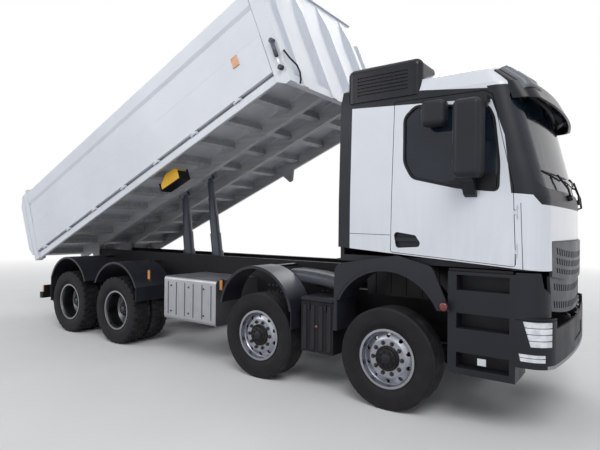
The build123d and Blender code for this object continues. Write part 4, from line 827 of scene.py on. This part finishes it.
def build_side_markers():
    """Round red reflectors beside the steps and amber side lamps along the chassis."""
    builder = Builder("side_markers", "chassis", black_plastic)
    for word, side in SIDES:
        place, out = at(0.615, side * 1.2395, 1.115), ACROSS * side
        pane = ((0.038, 0.0), (0.038, 0.009), (0.030, 0.012), (0.0, 0.0135))
        builder.use(black_plastic).lathe(place, out, ((0.044, -0.004), (0.044, 0.004), (0.040, 0.007)), 28)
        builder.use(marker_red).lathe(place, out, pane, 28)
    for side, x, y, z in SIDE_LAMPS:
        place = at(x, side * y, z)
        builder.use(frame_paint).box(place + Vector((0, -side * 0.03, -0.01)), (0.075, 0.012, 0.17), 0.003)
        builder.use(black_plastic).box(place + Vector((0, -side * 0.02, 0)), (0.060, 0.012, 0.145), 0.004)
        builder.use(amber_lens).box(place + Vector((0, -side * 0.008, 0)), (0.048, 0.018, 0.13), 0.006)
    builder.finish()


def build_step_label():
    label = Builder("step_label", "chassis", label_film)
    label.box(at(0.935, -1.1505, 0.64), (0.075, 0.0016, 0.062), 0.0004)
    label.finish()


def build_silencer_trim():
    low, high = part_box("silencer_box")
    builder = Builder("silencer_bolts", "chassis", dark_steel)
    for height in (0.20, 0.79):
        for share in (0.14, 0.49, 0.775):
            place = Vector((low.x + (high.x - low.x) * share, low.y, low.z + (high.z - low.z) * height))
            bolt(builder, place, -ACROSS, 0.011)
    builder.finish()


def build_rail_bolts():
    builder = Builder("rail_bolts", "chassis", dark_steel)
    for word, side in SIDES:
        for x, count in RAIL_ROWS:
            for index in range(count):
                for z in (0.86, 0.94, 1.02):
                    bolt(builder, at(x + 0.07 * index, side * 0.385, z), ACROSS * side, 0.013)
    builder.finish()


def build_flaps():
    """Rubber mud flaps behind the last axle, with their stays and ribs."""
    builder = Builder("mud_flaps", "chassis", black_plastic)
    x = -6.475
    for word, side in SIDES:
        y = side * 0.905
        builder.use(black_plastic)
        builder.prism([at(x, y + p, q) for p, q in plate(-0.29, 0.29, 0.44, 0.96, 0.04)], (0.010, 0, 0))
        for index in range(7):
            builder.box(at(x - 0.003, y - 0.24 + 0.08 * index, 0.69), (0.006, 0.012, 0.44), 0.002)
        stay = [at(x + 0.01, side * y_end, 0.975) for y_end in (0.40, 1.19)]
        builder.use(frame_paint).rod(*stay, 0.017)
        builder.use(dark_steel)
        for index in range(4):
            bolt(builder, at(x - 0.002, y - 0.21 + 0.14 * index, 0.925), Vector((-1, 0, 0)), 0.009)
    builder.finish()


def build_chock():
    """Wheel chock in its holder, on the right of the load bed."""
    builder = Builder("bed_chock", "bed", black_plastic)
    builder.box(on_bed(3.22, -1.02, -0.075), (0.46, 0.20, 0.012), 0.003, BED_AXES)
    for u in (3.0, 3.44):
        builder.box(on_bed(u, -1.02, -0.02), (0.012, 0.20, 0.12), 0.003, BED_AXES)
    builder.box(on_bed(3.22, -0.93, 0.0), (0.46, 0.012, 0.16), 0.003, BED_AXES)
    builder.use(chock_yellow)
    wedge = [(3.02, -0.066), (3.425, -0.066), (3.425, 0.08), (3.36, 0.11), (3.16, 0.11), (3.02, 0.01)]
    builder.prism([on_bed(u, -1.105, n) for u, n in rounded(wedge, 0.025)], (0, 0.16, 0))
    for index in range(4):
        builder.box(on_bed(3.13 + 0.06 * index, -1.108, 0.02), (0.024, 0.010, 0.10), 0.003, BED_AXES)
    builder.finish()


def build_bed_bracket():
    bracket = Builder("bed_bracket", "bed", bed_skin)
    outline = rounded([(3.58, 0.130), (3.88, 0.130), (3.77, -0.07), (3.70, -0.07)], 0.015)
    bracket.prism([on_bed(u, 1.13, n) for u, n in outline], (0, 0.012, 0))
    bracket.box(on_bed(3.73, 1.155, 0.05), (0.012, 0.05, 0.15), 0.002, BED_AXES)
    bracket.finish()


def build_bed_fittings():
    """Latch rams at the headboard's corners and the short hose at its right one."""
    builder = Builder("bed_fittings", "bed", dark_steel)
    for word, side in SIDES:
        out = ACROSS * side
        top, low = on_bed(5.66, side * 1.305, 0.60), on_bed(5.66, side * 1.305, 0.24)
        builder.use(ram_paint).rod(top, low.lerp(top, 0.42), 0.024, 18)
        builder.use(chrome).rod(low, low.lerp(top, 0.5), 0.012, 14)
        builder.use(dark_steel)
        for point in (top, low):
            builder.lathe(point - out * 0.032, out, ((0.030, 0), (0.030, 0.05), (0.022, 0.056)), 20)
    hose = [(5.725, -1.216, 0.462), (5.74, -1.17, 0.36), (5.745, -1.07, 0.29), (5.74, -1.045, 0.20),
            (5.735, -1.075, 0.10), (5.725, -1.101, 0.046)]
    builder.use(black_plastic).tube([on_bed(*point) for point in hose], 0.011)
    builder.finish()


def build_board_marker(word, side):
    marker = Builder(f"board_marker_{word}", f"side_board_{word}", amber_lens)
    marker.box(on_bed(5.06, side * 1.279, 0.715), (0.105, 0.012, 0.145), 0.004, BED_AXES)
    marker.finish()


def build_lockers():
    """Ribbed doors, lids and latches of the lockers between the first two axles."""
    for word, side in SIDES:
        builder = Builder(f"locker_{word}", "chassis", dark_plastic)
        builder.box(at(-0.8375, side * 0.93, 1.025), (0.445, 0.47, 0.055), 0.018)
        for x in (-1.0, -0.892, -0.784, -0.676):
            builder.box(at(x, side * 1.153, 0.72), (0.052, 0.014, 0.50), 0.005)
        builder.use(black_plastic)
        for x in (-0.946, -0.730):
            builder.box(at(x, side * 1.158, 0.945), (0.036, 0.016, 0.075), 0.005)
            builder.rod(at(x - 0.02, side * 1.163, 0.915), at(x + 0.02, side * 1.163, 0.915), 0.006, 8)
        reflector = ((0.020, 0.0), (0.020, 0.006), (0.0, 0.009))
        builder.use(marker_red).lathe(at(-0.838, side * 1.158, 0.73), ACROSS * side, reflector, 20)
        builder.finish()


def build_frame_covers():
    """Smooth covers over the frame between the second axle's fenders and the cab's."""
    for word, side in SIDES:
        builder = Builder(f"frame_cover_{word}", "chassis", cover_grey_and_sheen)
        rings = []
        for x, top in COVER_LINE:
            section = [(y, top - drop) for y, drop in COVER_SECTION]
            rings.append([at(x, side * y, z) for y, z in rounded(section, 0.04, 4)])
        builder.solid(rings, True)
        builder.use(frame_paint)
        for x in (-1.30, -0.86):
            builder.box(at(x, side * 0.43, 1.12), (0.05, 0.09, 0.10), 0.004)
        builder.finish()


def build_inner_shields():
    """Noise shields between the wheel houses and the engine, under the cab."""
    builder = Builder("inner_shields", "chassis", black_plastic)
    for word, side in SIDES:
        y = side * 0.60
        builder.prism([at(x, y, z) for x, z in plate(-0.50, 1.18, 1.07, 1.462, 0.03)], (0, side * 0.006, 0))
        for index in range(9):
            builder.box(at(-0.40 + 0.185 * index, y + side * 0.010, 1.26), (0.03, 0.010, 0.34), 0.004)
        lip = plate(1.010, 1.140, 1.441, 1.468, 0.006)
        builder.prism([at(0.63, side * p, z) for p, z in lip], (0.56, 0, 0))
    builder.finish()


def build_tank_cap():
    low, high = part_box("tanks")
    builder = Builder("tank_caps", "chassis", black_plastic)
    place = Vector((high.x - 1.2, high.y - 0.16, high.z))
    builder.lathe(place, (0, 0.35, 1), ((0.055, -0.02), (0.055, 0.03), (0.048, 0.045), (0.0, 0.048)), 30)
    builder.finish()


def build_wheel_of_driver():
    """Steering wheel and column."""
    builder = Builder("steering_wheel", "cab", black_plastic)
    centre = at(0.86, 0.52, 2.20)
    axis = Vector((-0.55, 0, 0.83)).normalized()
    other = axis.cross(ACROSS)
    rings = []
    for angle in turns(40):
        spoke = ACROSS * cos(angle) + other * sin(angle)
        rings.append([centre + spoke * (0.215 + 0.014 * cos(t)) + axis * 0.014 * sin(t) for t in turns(10)])
    builder.solid(rings, True, closed=True)
    hub = ((0.03, -0.10), (0.055, 0.0), (0.075, 0.03), (0.06, 0.05), (0.0, 0.055))
    builder.lathe(centre - axis * 0.05, axis, hub, 24)
    for angle in (0.0, 2.3, 4.0):
        spoke = ACROSS * cos(angle) + other * sin(angle)
        builder.rod(centre - axis * 0.02, centre + spoke * 0.21, 0.013, 8)
    builder.rod(centre - axis * 0.08, at(1.10, 0.52, 1.95), 0.035, 14)
    builder.finish()


# seats

PAD_STEPS = 22
PAD_CROWN = 0.16
PAD_PULL = 0.035
CHANNEL_WIDTH = 0.035
CAB_FLOOR = 1.545
# axis that a channel is square to, its place along that axis and its depth, as shares of the half size
CUSHION_CHANNELS = ((1, -0.55, 0.12), (1, 0.55, 0.12), (0, 0.35, 0.08))
BACK_CHANNELS = ((1, -0.55, 0.14), (1, 0.55, 0.14), (0, -0.35, 0.08), (0, 0.30, 0.08))


def pad(name, centre, axes, size, channels):
    """Cushion: crowned, pulled in between its corners, with sewn channels across its front face."""
    a, b, c = (value / 2 for value in size)
    mesh = bmesh.new()
    points = {}

    def shape(x, y, z):
        norm = (abs(x) ** 6 + abs(y) ** 6 + abs(z) ** 6) ** (1 / 6)
        x, y, z = x / norm, y / norm, z / norm
        thickness = 1 - PAD_CROWN * (x * x + y * y) / 2
        face = max(0.0, z)
        for axis, line_at, depth in channels:
            distance = (x, y)[axis] - line_at
            thickness -= face * depth * 2.718 ** (-(distance / CHANNEL_WIDTH) ** 2)
        pull = 1 - PAD_PULL * (1 - y * y), 1 - PAD_PULL * (1 - x * x)
        return Vector((x * a * pull[0], y * b * pull[1], z * c * thickness))

    def vertex(x, y, z):
        key = (round(x, 4), round(y, 4), round(z, 4))
        if key not in points:
            place = shape(*key)
            points[key] = mesh.verts.new(centre + axes[0] * place.x + axes[1] * place.y + axes[2] * place.z)
        return points[key]

    grid = [-1 + 2 * i / PAD_STEPS for i in range(PAD_STEPS + 1)]
    for axis in range(3):
        for sign in (-1, 1):
            for i in range(PAD_STEPS):
                for j in range(PAD_STEPS):
                    corners = []
                    for p, q in ((i, j), (i + 1, j), (i + 1, j + 1), (i, j + 1)):
                        place = [grid[p], grid[q]]
                        place.insert(axis, sign)
                        corners.append(vertex(*place))
                    mesh.faces.new(corners).smooth = True
    piece = add_piece(name, mesh, [seat_cloth], "cab")
    modifier = piece.modifiers.new("smooth", "SUBSURF")
    modifier.levels = 1
    modifier.render_levels = 1
    return piece


def build_seats():
    rise = Vector((0.46, 0, 0.05)).normalized()
    seat_axes = (rise, ACROSS, Vector((-rise.z, 0, rise.x)))
    lean = Vector((-0.17, 0, 0.75)).normalized()
    back_axes = (lean, ACROSS, Vector((lean.z, 0, -lean.x)))
    for word, side in SIDES:
        y = side * 0.52
        place = at(0.262, y, CAB_FLOOR + 0.376)
        pad(f"seat_cushion_{word}", place, seat_axes, (0.475, 0.50, 0.150), CUSHION_CHANNELS)
        place = at(-0.068, y, CAB_FLOOR + 0.70)
        pad(f"seat_back_{word}", place, back_axes, (0.56, 0.49, 0.145), BACK_CHANNELS)
        pad(f"seat_headrest_{word}", at(-0.155, y, CAB_FLOOR + 1.075), back_axes, (0.165, 0.30, 0.115), ())
        base = Builder(f"seat_base_{word}", "cab", black_plastic)
        base.box(at(0.20, y, CAB_FLOOR + 0.012), (0.44, 0.40, 0.020), 0.004)
        rings = []
        for z, half in ((0.02, 0.17), (0.14, 0.12), (0.27, 0.19)):
            ring = ((-0.02, -half), (0.42, -half), (0.42, half), (-0.02, half))
            rings.append([at(x, y + w, CAB_FLOOR + z) for x, w in ring])
        base.solid(rings)
        base.box(at(0.22, y, CAB_FLOOR + 0.285), (0.44, 0.46, 0.030), 0.008)
        for x in (-0.03, 0.03):
            foot = at(-0.135 - x * 0.1, y + x * 2, CAB_FLOOR + 0.95)
            base.rod(foot, at(-0.155, y + x * 2, CAB_FLOOR + 1.03), 0.007, 8)
        base.finish()
    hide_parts("seats")


for word, side in SIDES:
    build_window_seal(word, side)
    build_mirror_panes(word, side)
build_wipers()
build_cab_front()
build_side_markers()
build_step_label()
build_silencer_trim()
build_rail_bolts()
build_flaps()
build_chock()
build_bed_bracket()
build_bed_fittings()
for word, side in SIDES:
    build_board_marker(word, side)
build_inner_shields()
build_lockers()
build_frame_covers()
build_tank_cap()
build_wheel_of_driver()
build_seats()


# stage, light and camera

WHITE = (1, 1, 1)
FLOOR_REACH = 60.0
# distances between which the floor runs out into the white background
FADE_START, FADE_END = 7.0, 22.0
# name, place, what it faces, and power in watts of each lamp
LAMPS = (("key", (9, -10, 13), (0, 0, 1.5), 1150), ("fill", (-9, -12, 8), (0, 0, 1.5), 480),
         ("back", (0, 12, 12), (0, 0, 2), 650))
LAMP_DIAMETER = 9.0
# the camera fitted to the photograph, with the photograph's width and its focal length in pixels
camera_place = at(2.137, -5.604, 1.840)
camera_yaw, camera_pitch, camera_roll = radians(-35.85), radians(0.16), radians(0.59)
PHOTO_WIDTH = 600
FOCAL_PIXELS = 482.6
SENSOR_WIDTH = 36


def build_floor():
    skin = Surface("floor", (0.80, 0.80, 0.80), 0.9)
    skin.put(Base_Color=skin.mottled(skin.noise(0.7), (0.80, 0.80, 0.80), (0.77, 0.77, 0.77), 0.3))
    x, y, z = skin.axes()
    glow = skin.add("Emission", {"Color": WHITE})
    far = skin.times(skin.ramp(skin.length(x, y), FADE_START, FADE_END), skin.seen())
    mix = skin.add("MixShader", {0: far, 1: skin.shader.outputs[0], 2: glow.outputs[0]})
    skin.feed(skin.tree.nodes["Material Output"].inputs["Surface"], mix.outputs[0])
    mesh = bpy.data.meshes.new("floor")
    corners = [(x * FLOOR_REACH, y * FLOOR_REACH, 0) for x, y in ((-1, -1), (1, -1), (1, 1), (-1, 1))]
    mesh.from_pydata(corners, [], [(0, 1, 2, 3)])
    mesh.materials.append(skin.material)
    floor = link(bpy.data.objects.new("floor", mesh))


def build_world():
    """White where it is seen, and a cooler, weaker light on everything else."""
    world = bpy.data.worlds.new("studio")
    bpy.context.scene.world = world
    world.use_nodes = True
    world.node_tree.nodes.clear()
    sky = Nodes(world.node_tree)
    lit = sky.add("Background", {"Color": (0.93, 0.96, 1.0), "Strength": 0.45})
    backdrop = sky.add("Background", {"Color": WHITE, "Strength": 1.0})
    mix = sky.add("MixShader", {0: sky.seen(), 1: lit.outputs[0], 2: backdrop.outputs[0]})
    sky.add("OutputWorld", {0: mix.outputs[0]})


def build_lamps():
    for name, place, target, energy in LAMPS:
        data = bpy.data.lights.new(name, "AREA")
        data.shape = "DISK"
        data.size = LAMP_DIAMETER
        data.energy = energy
        lamp = link(bpy.data.objects.new(name, data))
        lamp.location = place
        lamp.rotation_euler = (Vector(target) - Vector(place)).to_track_quat("-Z", "Y").to_euler()


def build_camera():
    level = cos(camera_pitch)
    ahead = Vector((sin(camera_yaw) * level, cos(camera_yaw) * level, sin(camera_pitch)))
    right = Vector((cos(camera_yaw), -sin(camera_yaw), 0))
    up = right.cross(ahead)
    turned_right = right * cos(camera_roll) + up * sin(camera_roll)
    turned_up = up * cos(camera_roll) - right * sin(camera_roll)
    data = bpy.data.cameras.new("camera")
    data.sensor_width = SENSOR_WIDTH
    data.lens = SENSOR_WIDTH * (FOCAL_PIXELS / PHOTO_WIDTH)
    camera = link(bpy.data.objects.new("camera", data))
    matrix = Matrix((turned_right, turned_up, -ahead)).transposed().to_4x4()
    matrix.translation = camera_place
    camera.matrix_world = matrix
    bpy.context.scene.camera = camera


build_floor()
build_world()
build_lamps()
build_camera()
bpy.context.scene.view_settings.view_transform = "Standard"
